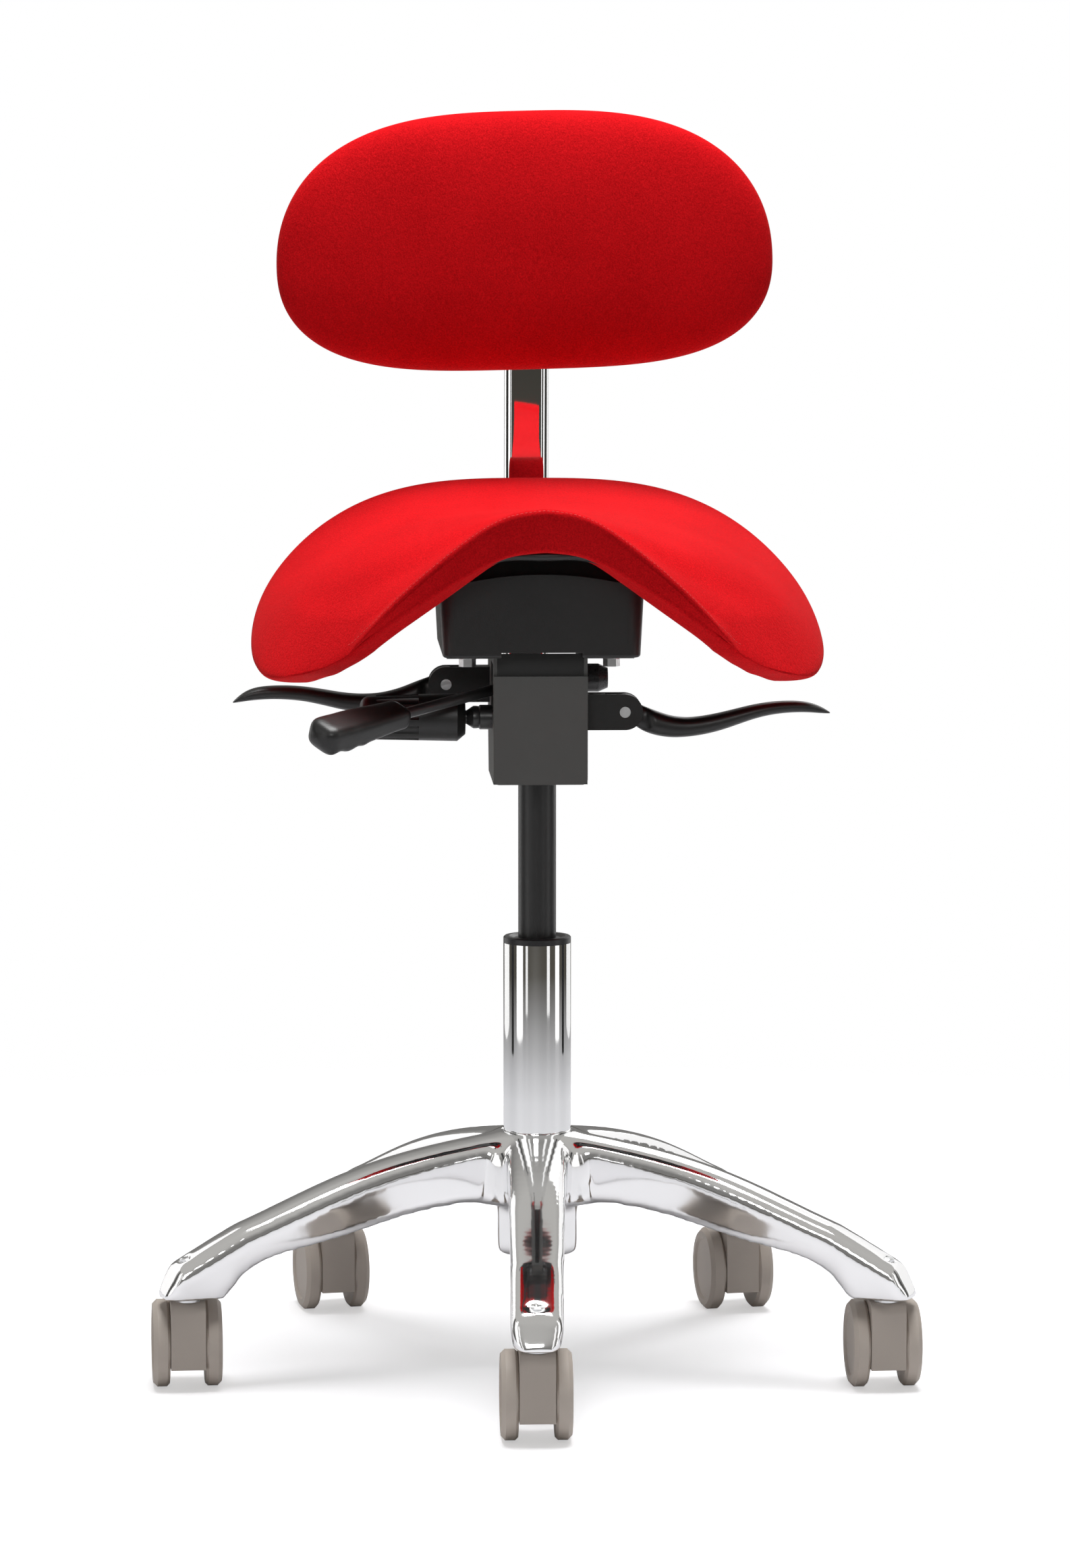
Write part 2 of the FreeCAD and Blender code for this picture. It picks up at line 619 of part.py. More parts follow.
def caster(number, turn):
    """One twin-wheel castor. Its hood's face looks towards the front, turned by some degrees."""
    direction = math.radians(Z.base_turn.value + 360 * (number - 1) / Z.arm_count.value)
    x = Z.caster_circle * math.cos(direction)
    y = Z.caster_circle * math.sin(direction)
    heading = Rotation(Vector(0, 0, 1), turn)

    def at(local_y, height):
        shift = heading.multVec(Vector(0, 1, 0))
        return x + local_y * shift.x, y + local_y * shift.y, height

    stem = turned_body(
        "caster_stem_%d" % number,
        [
            (0, Z.hood_top - Z.stem_drop),
            (Z.stem_radius, Z.hood_top - Z.stem_drop),
            (Z.stem_radius, Z.hood_top + Z.fit),
            (Z.stem_collar, Z.hood_top + Z.fit),
            (Z.stem_collar, Z.pad_low - Z.fit),
            (Z.stem_radius, Z.pad_low - Z.fit),
            (Z.stem_radius, Z.pad_low + Z.stem_bite - 1),
            (Z.stem_radius - 1, Z.pad_low + Z.stem_bite),
            (0, Z.pad_low + Z.stem_bite),
        ],
    )
    place(stem, x, y, 0)

    hood = new_body("caster_hood_%d" % number)
    reach = Z.wheel_radius - 4
    profile = outline(
        hood,
        "YZ",
        [
            (-Z.hood_front, Z.hood_low),
            (Z.caster_trail, Z.hood_low),
            (Z.caster_trail + reach - 4, Z.wheel_radius - 4, reach),
            (Z.caster_trail + reach, Z.wheel_radius + 4),
            (Z.caster_trail, Z.hood_top, reach + 6),
            (Z.hood_round - Z.hood_front, Z.hood_top),
            (-Z.hood_front, Z.hood_top - Z.hood_round, Z.hood_round),
        ],
    )
    pad(hood, profile, Z.hood_width, True)
    bore(hood, Z.stem_radius + Z.fit, Z.stem_drop + 1, 0, 0, Z.hood_top - Z.stem_drop - 1)
    left = -Z.hood_width / 2
    bore(hood, Z.axle_radius + Z.fit, Z.hood_width, left, Z.caster_trail, Z.wheel_radius, **ALONG_X)
    place(hood, *at(as_size(0), 0), (0, 0, 1), turn)

    half = Z.hood_width / 2 + Z.wheel_gap
    axle_half = half + Z.wheel_width - Z.wheel_dish - 2
    axle = doc.addObject("Part::Cylinder", "caster_axle_%d" % number)
    bind(axle, "Radius", Z.axle_radius)
    bind(axle, "Height", axle_half * 2)
    keep(axle, "caster_axle_%d" % number)
    lying = heading.multiply(Rotation(Vector(0, 1, 0), 90))
    sideways = heading.multVec(Vector(1, 0, 0))
    start = at(Z.caster_trail, Z.wheel_radius)
    place(axle, start[0] - axle_half * sideways.x, start[1] - axle_half * sideways.y, start[2])
    axle.Placement.Rotation = lying

    for side, name in ((-1, "left"), (1, "right")):
        wheel = turned_body(
            "caster_wheel_%d_%s" % (number, name),
            [
                (0, Z.wheel_width - Z.wheel_dish - 2 + Z.fit),
                (Z.axle_radius + Z.fit, Z.wheel_width - Z.wheel_dish - 2 + Z.fit),
                (Z.axle_radius + Z.fit, 0),
                (Z.wheel_radius - 2, 0),
                (Z.wheel_radius, 2),
                (Z.wheel_radius, Z.wheel_width - Z.wheel_edge),
                (Z.wheel_radius - Z.wheel_edge, Z.wheel_width),
                (Z.wheel_radius - Z.wheel_edge - Z.wheel_rim, Z.wheel_width),
                (Z.wheel_radius - Z.wheel_edge - Z.wheel_rim - 1.5, Z.wheel_width - Z.wheel_dish),
                (0, Z.wheel_width - Z.wheel_dish),
            ],
        )
        outwards = heading.multiply(Rotation(Vector(0, 1, 0), 90 * side))
        centre = at(Z.caster_trail, Z.wheel_radius)
        place(wheel, centre[0] + side * half * sideways.x, centre[1] + side * half * sideways.y, centre[2])
        wheel.Placement.Rotation = outwards


# Column: tube, guide, gas spring, thrust bearing and clip


def column():
    plate_top = Z.hub_low + Z.tube_plate
    inside = Z.tube_radius - Z.tube_wall
    turned_body(
        "column_tube",
        [
            (Z.rod_radius + 1, Z.hub_low),
            (Z.tube_foot_radius, Z.hub_low),
            (Z.tube_foot_radius, Z.hub_skirt_low),
            (Z.tube_radius, Z.hub_top),
            (Z.tube_radius, Z.tube_top),
            (inside, Z.tube_top),
            (inside, plate_top),
            (Z.rod_radius + 1, plate_top),
        ],
    )
    collar_top = Z.tube_top + Z.guide_collar
    turned_body(
        "column_guide",
        [
            (Z.cylinder_radius + Z.fit, Z.guide_low),
            (inside - Z.fit, Z.guide_low),
            (inside - Z.fit, Z.tube_top),
            (Z.tube_radius, Z.tube_top),
            (Z.tube_radius, collar_top - 1),
            (Z.tube_radius - 1, collar_top),
            (Z.tube_radius - 4, collar_top),
            (Z.cylinder_radius + 3, collar_top - Z.guide_dish),
            (Z.cylinder_radius + Z.fit, collar_top - Z.guide_dish),
        ],
    )
    clip_top = Z.hub_low - 1
    flange_low = plate_top + Z.bearing_height + Z.fit * 2
    piston_top = Z.piston_low + Z.piston_height
    cylinder_bore = Z.cylinder_radius - Z.cylinder_wall
    turned_body(
        "piston_rod",
        [
            (0, clip_top - Z.clip_height - 3),
            (Z.rod_radius, clip_top - Z.clip_height - 3),
            (Z.rod_radius, clip_top - Z.clip_height),
            (Z.rod_radius - 1, clip_top - Z.clip_height),
            (Z.rod_radius - 1, clip_top),
            (Z.rod_radius, clip_top),
            (Z.rod_radius, flange_low),
            (Z.rod_radius + 4, flange_low),
            (Z.rod_radius + 4, flange_low + Z.rod_flange),
            (Z.rod_radius, flange_low + Z.rod_flange),
            (Z.rod_radius, Z.piston_low),
            (cylinder_bore - Z.fit, Z.piston_low),
            (cylinder_bore - Z.fit, piston_top),
            (0, piston_top),
        ],
    )
    turned_body(
        "rod_clip",
        [
            (Z.rod_radius - 1 + Z.fit, clip_top - Z.clip_height + Z.fit),
            (Z.rod_radius + 5, clip_top - Z.clip_height + Z.fit),
            (Z.rod_radius + 5, clip_top - Z.fit),
            (Z.rod_radius - 1 + Z.fit, clip_top - Z.fit),
        ],
    )
    groove = Z.bearing_height / 4
    bearing_low = plate_top + Z.fit
    turned_body(
        "thrust_bearing",
        [
            (Z.rod_radius + Z.fit, bearing_low),
            (Z.bearing_radius, bearing_low),
            (Z.bearing_radius, bearing_low + groove),
            (Z.bearing_radius - 2, bearing_low + groove),
            (Z.bearing_radius - 2, bearing_low + Z.bearing_height - groove),
            (Z.bearing_radius, bearing_low + Z.bearing_height - groove),
            (Z.bearing_radius, bearing_low + Z.bearing_height),
            (Z.rod_radius + Z.fit, bearing_low + Z.bearing_height),
        ],
    )
    cylinder_top = Z.box_low + Z.cylinder_taper
    taper_top = Z.cylinder_radius - Z.cylinder_taper_in
    turned_body(
        "gas_cylinder",
        [
            (Z.rod_radius + Z.fit, Z.cylinder_low),
            (Z.cylinder_radius - 1, Z.cylinder_low),
            (Z.cylinder_radius, Z.cylinder_low + 1),
            (Z.cylinder_radius, Z.box_low),
            (taper_top, cylinder_top),
            (Z.release_radius + Z.fit, cylinder_top),
            (Z.release_radius + Z.fit, cylinder_top - Z.cylinder_plug),
            (cylinder_bore, cylinder_top - Z.cylinder_plug),
            (cylinder_bore, Z.cylinder_low + Z.gland),
            (Z.rod_radius + Z.fit, Z.cylinder_low + Z.gland),
        ],
    )
    turned_body(
        "release_pin",
        [
            (0, cylinder_top - Z.cylinder_plug - 2),
            (Z.release_radius, cylinder_top - Z.cylinder_plug - 2),
            (Z.release_radius, release_top() - 1),
            (Z.release_radius - 1, release_top()),
            (0, release_top()),
        ],
    )


def release_top():
    """Top of the valve pin, just under the tail of the height lever."""
    return Z.lever_pivot_z - Z.lever_rod_radius - Z.fit * 2


# Mechanism: inner box on the gas spring, with the taper socket and the lever fork


def mechanism_box():
    body = new_body("mechanism_box")
    half, wall = Z.box_half, Z.box_wall
    corner = Z.box_corner
    channel = [
        (half - corner, Z.box_low),
        (half, Z.box_low + corner, corner),
        (half, Z.box_top),
        (half - wall, Z.box_top),
        (half - wall, Z.box_low + corner),
        (half - corner, Z.box_low + wall, wall - corner),
        (corner - half, Z.box_low + wall),
        (wall - half, Z.box_low + corner, wall - corner),
        (wall - half, Z.box_top),
        (-half, Z.box_top),
        (-half, Z.box_low + corner),
        (corner - half, Z.box_low, corner),
    ]
    pad(body, outline(body, "XZ", channel, -Z.box_rear), Z.box_rear + Z.box_front)
    front = [
        (half - corner, Z.box_low),
        (half, Z.box_low + corner, corner),
        (half, Z.box_top),
        (-half, Z.box_top),
        (-half, Z.box_low + corner),
        (corner - half, Z.box_low, corner),
    ]
    pad(body, outline(body, "XZ", front, Z.box_front - wall), wall)
    bore(body, socket_radius() + Z.fit, wall * 3, 0, 0, Z.box_low - wall)
    bore(body, Z.tilt_axle_radius + Z.fit, half * 2, -half, Z.tilt_y, Z.tilt_z, **ALONG_X)
    bore(body, Z.shaft_slot, half * 2, -half, Z.shaft_y, Z.shaft_z, **ALONG_X)
    bore(body, Z.yoke_pin_radius + Z.fit, half * 2, -half, Z.yoke_y, Z.yoke_z, **ALONG_X)
    # window in the left wall for the height lever
    block(body, "Subtractive", wall * 3, 30, 30, -half - wall, Z.shaft_y - 14, Z.box_top - 26)
    # the rear wall ends step down behind the yoke's pin
    block(body, "Subtractive", half * 2, 60, 60, -half, Z.yoke_y - 22, Z.yoke_z + 22)


def socket_radius():
    """Outer radius of the taper socket."""
    return Z.cylinder_radius + Z.socket_wall


def taper_socket():
    """The steel socket of the gas spring, with the fork that carries the height lever's pivot."""
    body = new_body("taper_socket")
    top = Z.box_low + Z.cylinder_taper
    low_bore = Z.cylinder_radius + Z.fit
    top_bore = low_bore - Z.cylinder_taper_in
    ring = outline(
        body,
        "XZ",
        [
            (low_bore, Z.box_low),
            (socket_radius(), Z.box_low),
            (socket_radius(), Z.box_low + Z.box_wall + 6),
            (socket_radius(), top - 2),
            (socket_radius() + 4, top - 2),
            (socket_radius() + 4, top),
            (top_bore, top),
        ],
    )
    revolve(body, ring)
    for side in (-1, 1):
        block(
            body,
            "Additive",
            8,
            3,
            Z.lever_pivot_z + 6 - top,
            -Z.lever_tail - 4,
            side * (fork_half() + 1.5) - 1.5,
            top,
        )
    bore(
        body,
        pivot_radius() + Z.fit,
        fork_half() * 2 + 10,
        -Z.lever_tail,
        -(fork_half() + 5),
        Z.lever_pivot_z,
        **ALONG_Y
    )
    place(body, 0, 0, 0, (0, 0, 1), Z.lever_turn)


def fork_half():
    """Half the inner width of the fork round the height lever's rod."""
    return Z.lever_rod_radius + 1.2


def pivot_radius():
    """Radius of the cross pin of the height lever."""
    return Z.lever_rod_radius - 1.5


def height_lever():
    """Bent steel rod with its cross pin, and the moulded grip on its outer end."""
    body = new_body("height_lever_rod")
    # local frame: origin at the pivot, the rod runs to -X
    boss(body, Z.lever_rod_radius, Z.lever_tail + 4, -2, 0, 0, **ALONG_X)
    arm = Z.lever_rod_length
    boss(body, Z.lever_rod_radius, arm, 0, 0, 0, (0, 1, 0), -(90 + Z.lever_fall.value))
    pin_half = fork_half() + 3
    boss(body, pivot_radius(), pin_half * 2, 0, -pin_half, 0, **ALONG_Y)
    knee = body.newObject("PartDesign::AdditiveSphere", "Knee")
    bind(knee, "Radius", Z.lever_rod_radius)
    turn = Z.lever_turn.value
    direction = Vector(math.cos(math.radians(turn)), math.sin(math.radians(turn)), 0)
    x = -Z.lever_tail * direction.x
    y = -Z.lever_tail * direction.y
    place(body, x, y, Z.lever_pivot_z, (0, 0, 1), turn)

    grip = new_body("height_lever_grip")
    half = Z.grip_height / 2
    start = Z.grip_start
    end = Z.grip_start + Z.grip_length
    third = Z.grip_length / 3
    side = outline(
        grip,
        "XZ",
        [
            (-start, -half + 3),
            (-start, half - 4),
            (-start - 8, half, 12),
            (-end + 6, half - 2),
            (-end, half - 8, 7),
            (-end, -half + 5),
            (-end + 6, -half, 7),
            (-end + third, -half + 3, -Z.grip_scallop * 1.5),
            (-end + third + 4, -half + 1.5, 6),
            (-start - 8, -half + 1.5, -Z.grip_scallop * 3),
        ],
    )
    pad(grip, side, Z.grip_width, True)
    fillet(grip, 3.5, lambda edge: spread(edge, "y") < 0.01 and edge.Length > LONG_EDGE)
    bore(
        grip,
        Z.lever_rod_radius + Z.fit,
        Z.lever_rod_length - Z.grip_start + 1,
        -Z.grip_start - (Z.lever_rod_length - Z.grip_start) - 0.5,
        0,
        0,
        **ALONG_X
    )
    tilt = Rotation(Vector(0, 0, 1), turn).multiply(Rotation(Vector(0, 1, 0), -Z.lever_fall.value))
    place(grip, x, y, Z.lever_pivot_z)
    grip.Placement.Rotation = tilt


# Seat side of the mechanism: bracket, axle, shaft, lever mounts and bolts


def bracket_inner():
    """Inner face of the bracket walls."""
    return Z.box_half + Z.bracket_gap


def bracket_outer():
    """Outer face of the bracket walls."""
    return bracket_inner() + Z.bracket_wall


def seat_bracket():
    """Hat-shaped sheet bracket: two walls beside the box, with flanges bolted under the housing."""
    body = new_body("seat_bracket")
    inner, outer = bracket_inner(), bracket_outer()
    top = Z.housing_low
    low = top - Z.bracket_flange_thick
    sides = []
    for side in (-1, 1):
        sides.append(
            pad(
                body,
                outline(
                    body,
                    "XZ",
                    [
                        (side * inner, Z.box_low),
                        (side * outer, Z.box_low),
                        (side * outer, low),
                        (side * Z.bracket_flange_half, low),
                        (side * Z.bracket_flange_half, top),
                        (side * inner, top),
                    ],
                    -Z.bracket_rear,
                ),
                Z.bracket_rear + Z.bracket_front,
            )
        )
        if side == -1:
            block(
                body,
                "Additive",
                inner * 2 + 2,
                14,
                Z.bracket_flange_thick,
                -inner - 1,
                Z.bracket_rear - 14,
                low,
            )
    # front plate that closes the two walls, with its upper edge folded back
    corner = Z.box_corner
    plate = [
        (outer - corner, Z.box_low),
        (outer, Z.box_low + corner, corner),
        (outer, Z.box_top),
        (-outer, Z.box_top),
        (-outer, Z.box_low + corner),
        (corner - outer, Z.box_low, corner),
    ]
    pad(body, outline(body, "XZ", plate, Z.bracket_front - 0.5), Z.bracket_wall + 0.5)
    fold = Z.box_top - Z.bracket_wall
    block(body, "Additive", outer * 2, 4, Z.bracket_wall, -outer, -Z.bracket_front - 1, fold)
    width = bracket_outer() * 2
    bore(body, Z.tilt_axle_radius + Z.fit, width, -outer, Z.tilt_y, Z.tilt_z, **ALONG_X)
    bore(body, Z.shaft_radius + Z.fit, width, -outer, Z.shaft_y, Z.shaft_z, **ALONG_X)
    block(body, "Subtractive", Z.bracket_wall * 3, 40, 36, -outer - 3, Z.shaft_y - 18, Z.box_top - 28)
    # rear lower corners are cut back over the back yoke
    rear = [
        (Z.bracket_rear + 1, Z.box_low - 1),
        (Z.bracket_rear + 1, Z.yoke_z + 16),
        (Z.yoke_y - 28, Z.box_low - 1),
    ]
    cut_through(body, outline(body, "YZ", rear))
    for x, y in bolt_places():
        bore(body, Z.bolt_radius + Z.fit, Z.bracket_flange_thick * 3, x, y, low - 2)


def bolt_places():
    """Four bolts through the flanges."""
    return [(side * Z.bolt_x, y) for side in (-1, 1) for y in (-Z.bolt_front, Z.bolt_rear)]


def bracket_bolts():
    """Zinc-plated hexagon bolts with washers."""
    low = Z.housing_low - Z.bracket_flange_thick
    bolts = []
    for x, y in bolt_places():
        washer = cylinder("Washer", Z.washer_radius, Z.washer_thick, x, y, low - Z.washer_thick)
        head = doc.addObject("Part::Prism", "HexagonHead")
        head.Polygon = 6
        bind(head, "Circumradius", Z.bolt_hex)
        bind(head, "Height", Z.bolt_head)
        place(head, x, y, low - Z.washer_thick - Z.bolt_head)
        shank = cylinder("Shank", Z.bolt_radius, 14, x, y, low - 2)
        bolts.append(fuse("Bolt", [washer, head, shank]))
    group = doc.addObject("Part::Compound", "bracket_bolts")
    group.Links = bolts
    keep(group, "bracket_bolts")


def tilt_axle():
    """The axle the seat tilts on, with its large head on the right."""
    outer = bracket_outer()
    body = turned_body(
        "tilt_axle",
        [
            (0, -outer - 6),
            (Z.tilt_axle_radius + 3, -outer - 6),
            (Z.tilt_axle_radius + 3, -outer - Z.fit),
            (Z.tilt_axle_radius, -outer - Z.fit),
            (Z.tilt_axle_radius, outer + Z.fit),
            (Z.tilt_head, outer + Z.fit),
            (Z.tilt_head, outer + Z.tilt_head_length),
            (Z.tilt_head - 3, outer + Z.tilt_head_length + Z.tilt_head_cone),
            (0, outer + Z.tilt_head_length + Z.tilt_head_cone),
        ],
    )
    place(body, 0, Z.tilt_y, Z.tilt_z, **ALONG_X)


def lower_shaft():
    """Shaft under the tilt axle, from the right lever to the tension knob."""
    outer = bracket_outer()
    # local +Z points to -X
    body = turned_body(
        "lower_shaft",
        [
            (0, -outer - 3),
            (Z.shaft_radius, -outer - 3),
            (Z.shaft_radius, outer + Z.fit),
            (Z.shaft_collar, outer + Z.fit),
            (Z.shaft_collar, outer + 9),
            (Z.shaft_ball, outer + 10),
            (Z.shaft_ball + 0.2, outer + 14, 12),
            (Z.shaft_tip, Z.knob_start - 1),
            (Z.shaft_tip, Z.knob_start + 22),
            (0, Z.knob_start + 22),
        ],
    )
    place(body, 0, Z.shaft_y, Z.shaft_z, **AGAINST_X)


def tension_knob():
    """Long fluted knob on the lower shaft."""
    end = Z.knob_length
    body = new_body("tension_knob")
    boss(body, Z.knob_core, end - Z.shaft_tip - 21, 0, 0, Z.shaft_tip + 20)
    grip = outline(
        body,
        "XZ",
        [
            (Z.shaft_tip + Z.fit, 0),
            (Z.knob_radius - 5, 0),
            (Z.knob_radius, 6),
            (Z.knob_radius - Z.knob_fall, end - 8),
            (Z.knob_radius - Z.knob_fall - 8, end, 8),
            (0, end),
            (0, Z.shaft_tip + 19),
            (Z.shaft_tip + Z.fit, Z.shaft_tip + 19),
        ],
    )
    revolve(body, grip)
    flute = bore(body, Z.flute_radius, Z.flute_length, Z.knob_radius + 2.6, 0, end - 12 - Z.flute_length)
    circle_pattern(body, [flute], Z.flute_count)
    place(body, -Z.knob_start, Z.shaft_y, Z.shaft_z, **AGAINST_X)


def lever_outline(body, reach):
    """Side view of a wing lever from its pin: a round eye, a dip, a hump and a drawn-out tip."""
    eye = Z.lever_eye
    return outline(
        body,
        "XZ",
        [
            (4, -eye + 0.65, eye),
            (76, -12.5, 83),
            (reach - 15, -1.8, -145),
            (reach - 1.8, -3.4),
            (reach - 1.4, 0.9, 2.4),
            (reach - 32, 7.8, 62),
            (reach - 68, 2.4, 125),
            (12, 4.1, -101),
            (0, eye, 16),
            (-eye, 0, eye),
        ],
    )


def wing_lever(name, side, y):
    """A moulded S-shaped lever on the left or right of the seat bracket."""
    body = new_body(name)
    reach = Z.lever_reach if side > 0 else Z.left_lever_reach
    pad(body, lever_outline(body, reach), Z.lever_depth, True)
    fillet(body, Z.lever_edge, lambda edge: spread(edge, "y") < 0.01 and edge.Length > LONG_EDGE)
    bore(body, Z.lever_pin_radius + Z.fit, Z.lever_depth, 0, -Z.lever_depth / 2, 0, **ALONG_Y)
    # both sides of the eye are cut back, so that it fits between the mount's cheeks
    deep = Z.lever_depth / 2
    shoulder = Z.cheek_radius + 1.2
    for start in (Z.lever_tongue / 2, -deep - 1):
        step = deep + 1 - Z.lever_tongue / 2
        long = Z.lever_eye + shoulder + 1
        block(body, "Subtractive", long, step, long * 2, -Z.lever_eye - 1, start, -long)
    if side > 0:
        place(body, Z.right_pin_x, y, Z.right_pin_z)
    else:
        place(body, -Z.left_pin_x, y, Z.left_pin_z)
        half_turn = Rotation(Vector(0, 0, 1), 180)
        droop = Rotation(Vector(0, 1, 0), -Z.left_droop.value)
        body.Placement.Rotation = droop.multiply(half_turn)


def lever_mount(name, side, pin_x, pin_z, y):
    """Block on the bracket wall, forked into two round-ended cheeks that hold the lever's eye."""
    body = new_body(name)
    outer = bracket_outer()
    radius = Z.cheek_radius
    deep = Z.lever_depth
    start = outer if side > 0 else -pin_x
    block(body, "Additive", pin_x - outer, deep, radius * 2, start, y - deep / 2, pin_z - radius)
    boss(body, radius, deep, side * pin_x, y - deep / 2, pin_z, **ALONG_Y)
    bore(body, Z.lever_pin_radius + Z.fit, deep, side * pin_x, y - deep / 2, pin_z, **ALONG_Y)
    gap = Z.lever_tongue + 0.6
    inner_end = Z.lever_eye + 1.5
    fork = inner_end + radius + 1
    fork_start = pin_x - inner_end if side > 0 else -pin_x - radius - 1
    block(body, "Subtractive", fork, gap, radius * 3, fork_start, y - gap / 2, pin_z - radius * 1.5)
    # the axle's nut and the shaft's head sit in counterbores
    if side > 0:
        bore(body, Z.shaft_radius + 0.5, 4, outer - 0.5, Z.shaft_y, Z.shaft_z, **ALONG_X)
    else:
        bore(body, Z.tilt_axle_radius + 3.5, 8, -outer - 7.5, Z.tilt_y, Z.tilt_z, **ALONG_X)


def lever_pins():
    """The two cross pins of the wing levers."""
    pins = []
    for side, x, z, y in (
        (1, Z.right_pin_x, Z.right_pin_z, Z.right_lever_y),
        (-1, Z.left_pin_x, Z.left_pin_z, Z.left_lever_y),
    ):
        length = Z.lever_depth - 0.6
        pins.append(
            cylinder("Pin", Z.lever_pin_radius, length, side * x, y - length / 2, z, **ALONG_Y)
        )
    group = doc.addObject("Part::Compound", "lever_pins")
    group.Links = pins
    keep(group, "lever_pins")


# Housing, seat plate, shell and cushion


def rounded_box(body, half, front, rear, corner, low, name):
    """Sketch of a rectangle with round corners on a level plane."""
    return outline(
        body,
        "XY",
        [
            (half - corner, -front),
            (half, corner - front, corner),
            (half, rear - corner),
            (half - corner, rear, corner),
            (corner - half, rear),
            (-half, rear - corner, corner),
            (-half, corner - front),
            (corner - half, -front, corner),
        ],
        low,
        name,
    )


def housing():
    """Moulded cover between bracket and seat, drafted, with a floor and a raised brow in front."""
    body = new_body("housing")
    wall = Z.housing_wall
    height = Z.housing_brow - Z.housing_low
    plan = (Z.housing_half, Z.housing_front, Z.housing_rear, Z.housing_corner, Z.housing_low)
    outside = pad(body, rounded_box(body, *plan, "Outside"), height)
    bind(outside, "TaperAngle", Z.housing_draft)
    fillet(body, Z.housing_edge, lambda edge: abs(edge.BoundBox.ZMax - Z.housing_low.value) < 0.01)
    inside = body.newObject("PartDesign::Pocket", "Inside")
    inside.Profile = rounded_box(
        body,
        Z.housing_half - wall,
        Z.housing_front - wall,
        Z.housing_rear - wall,
        Z.housing_corner - wall,
        Z.housing_low + wall + Z.housing_recess,
        "Cavity",
    )
    inside.Reversed = True
    bind(inside, "Length", height)
    bind(inside, "TaperAngle", Z.housing_draft)
    doc.recompute()
    # middle of the floor is raised between the bracket walls
    recess = bracket_inner() - 2
    block(
        body,
        "Subtractive",
        recess * 2,
        Z.housing_front + Z.housing_rear + 20,
        Z.housing_recess + 1,
        -recess,
        -Z.housing_front - 10,
        Z.housing_low - 1,
    )
    # side and rear walls stop at the seat plate
    over = Z.housing_half + 20
    brow_end = Z.housing_brow_depth - Z.housing_front
    side_cut = [
        (brow_end, Z.housing_side_top),
        (Z.housing_rear + 20, Z.housing_side_top),
        (Z.housing_rear + 20, Z.housing_brow + 5),
        (brow_end, Z.housing_brow + 5),
    ]
    cut_through(body, outline(body, "YZ", side_cut))
    brow = [
        (-over, Z.housing_brow - Z.housing_brow_fall),
        (over, Z.housing_brow - Z.housing_brow_fall, -260),
        (over, Z.housing_brow + 20),
        (-over, Z.housing_brow + 20),
    ]
    cut_through(body, outline(body, "XZ", brow))
    for x, y in bolt_places():
        bore(body, Z.bolt_radius + Z.fit, 20, x, y, Z.housing_low - 2)


def seat_plate():
    body = new_body("seat_plate")
    base = rounded_box(
        body, Z.plate_half, Z.plate_front, Z.plate_rear, Z.plate_corner, Z.housing_side_top, "Plate"
    )
    pad(body, base, Z.plate_thick)


def middle_line(y):
    """Height of the seat's middle line: a shallow dip between pommel and cantle."""
    if y < 0:
        return Z.seat_dip.value + Z.seat_pommel_rise.value * (y / 140) ** 2
    return Z.seat_dip.value + Z.seat_cantle_rise.value * (y / 130) ** 1.6


def drawn(x):
    """Distance from the middle plane as if the seat had the width at which its falls are drawn."""
    return abs(x) * Z.seat_drawn_width.value / Z.seat_half_width.value


def front_fall(x):
    """Fall of the steep front arch beside its level pommel, with a rounded shoulder."""
    past = drawn(x) - Z.seat_ridge.value
    beyond = 0.5 * (past + math.sqrt(past**2 + Z.seat_shoulder.value**2))
    return Z.seat_front_slope.value * beyond + Z.seat_wing_fall.value * (beyond / 115) ** 4


def rear_fall(x):
    """Fall of the broad rear arch, rounding over at the outer edge."""
    share = abs(x) / Z.seat_half_width.value
    radius = Z.seat_edge_round.value
    over = max(0.0, drawn(x) - (Z.seat_drawn_width.value - radius))
    rounding = radius - math.sqrt(max(radius**2 - over**2, 0))
    return Z.seat_rear_fall.value * share**3 + rounding


def seat_top(x, y):
    """Height of the cushion's top: the front arch fades into the rear arch."""
    share = math.exp(-max(0.0, y + 125) / Z.seat_fade.value)
    return middle_line(y) - share * front_fall(x) - (1 - share) * rear_fall(x)


def front_edge(x):
    """Front edge in plan, a rounded curve of power two and a half."""
    share = abs(x) / Z.seat_half_width.value
    return -Z.seat_half_length.value * (1 - share**2.5) ** 0.4


def rear_edge(x):
    """Rear edge in plan, a squarer curve of power four."""
    share = abs(x) / Z.seat_half_width.value
    return Z.seat_half_length.value * (1 - share**4) ** 0.25


def wing_low(y):
    """Lowest edge of the cushion along its side."""
    along = max(0.0, y + 85)
    return Z.seat_wing_low.value + 0.16 * along + 0.00105 * along**2


def fascia(x):
    """Height of the band under the front seam, narrowing towards the wings."""
    return max(5.0, Z.seat_fascia.value * (1 - (drawn(x) / 185) ** 1.5))


def cushion_points(x):
    """Corner points of the cushion's section at one x, in (y, z)."""
    front, rear = front_edge(x), rear_edge(x)
    seam = (front, seat_top(x, front))
    low_front = (front + 3, seam[1] - fascia(x))
    crest_y = rear - min(14.0, 0.25 * (rear - front))
    crest = (crest_y, seat_top(x, crest_y))
    widest = (rear, crest[1] - 0.7 * (rear - crest_y) - 2)
    low_rear = (rear - 3, min(wing_low(rear), crest[1] - 28))
    middle_y = 0.5 * (front + rear)
    under = (middle_y, max(wing_low(middle_y), seat_top(x, middle_y) - Z.seat_thick.value))
    return seam, crest, widest, low_rear, under, low_front


def arc(first, middle, last, x):
    return Part.Arc(Vector(x, *first), Vector(x, *middle), Vector(x, *last)).toShape()


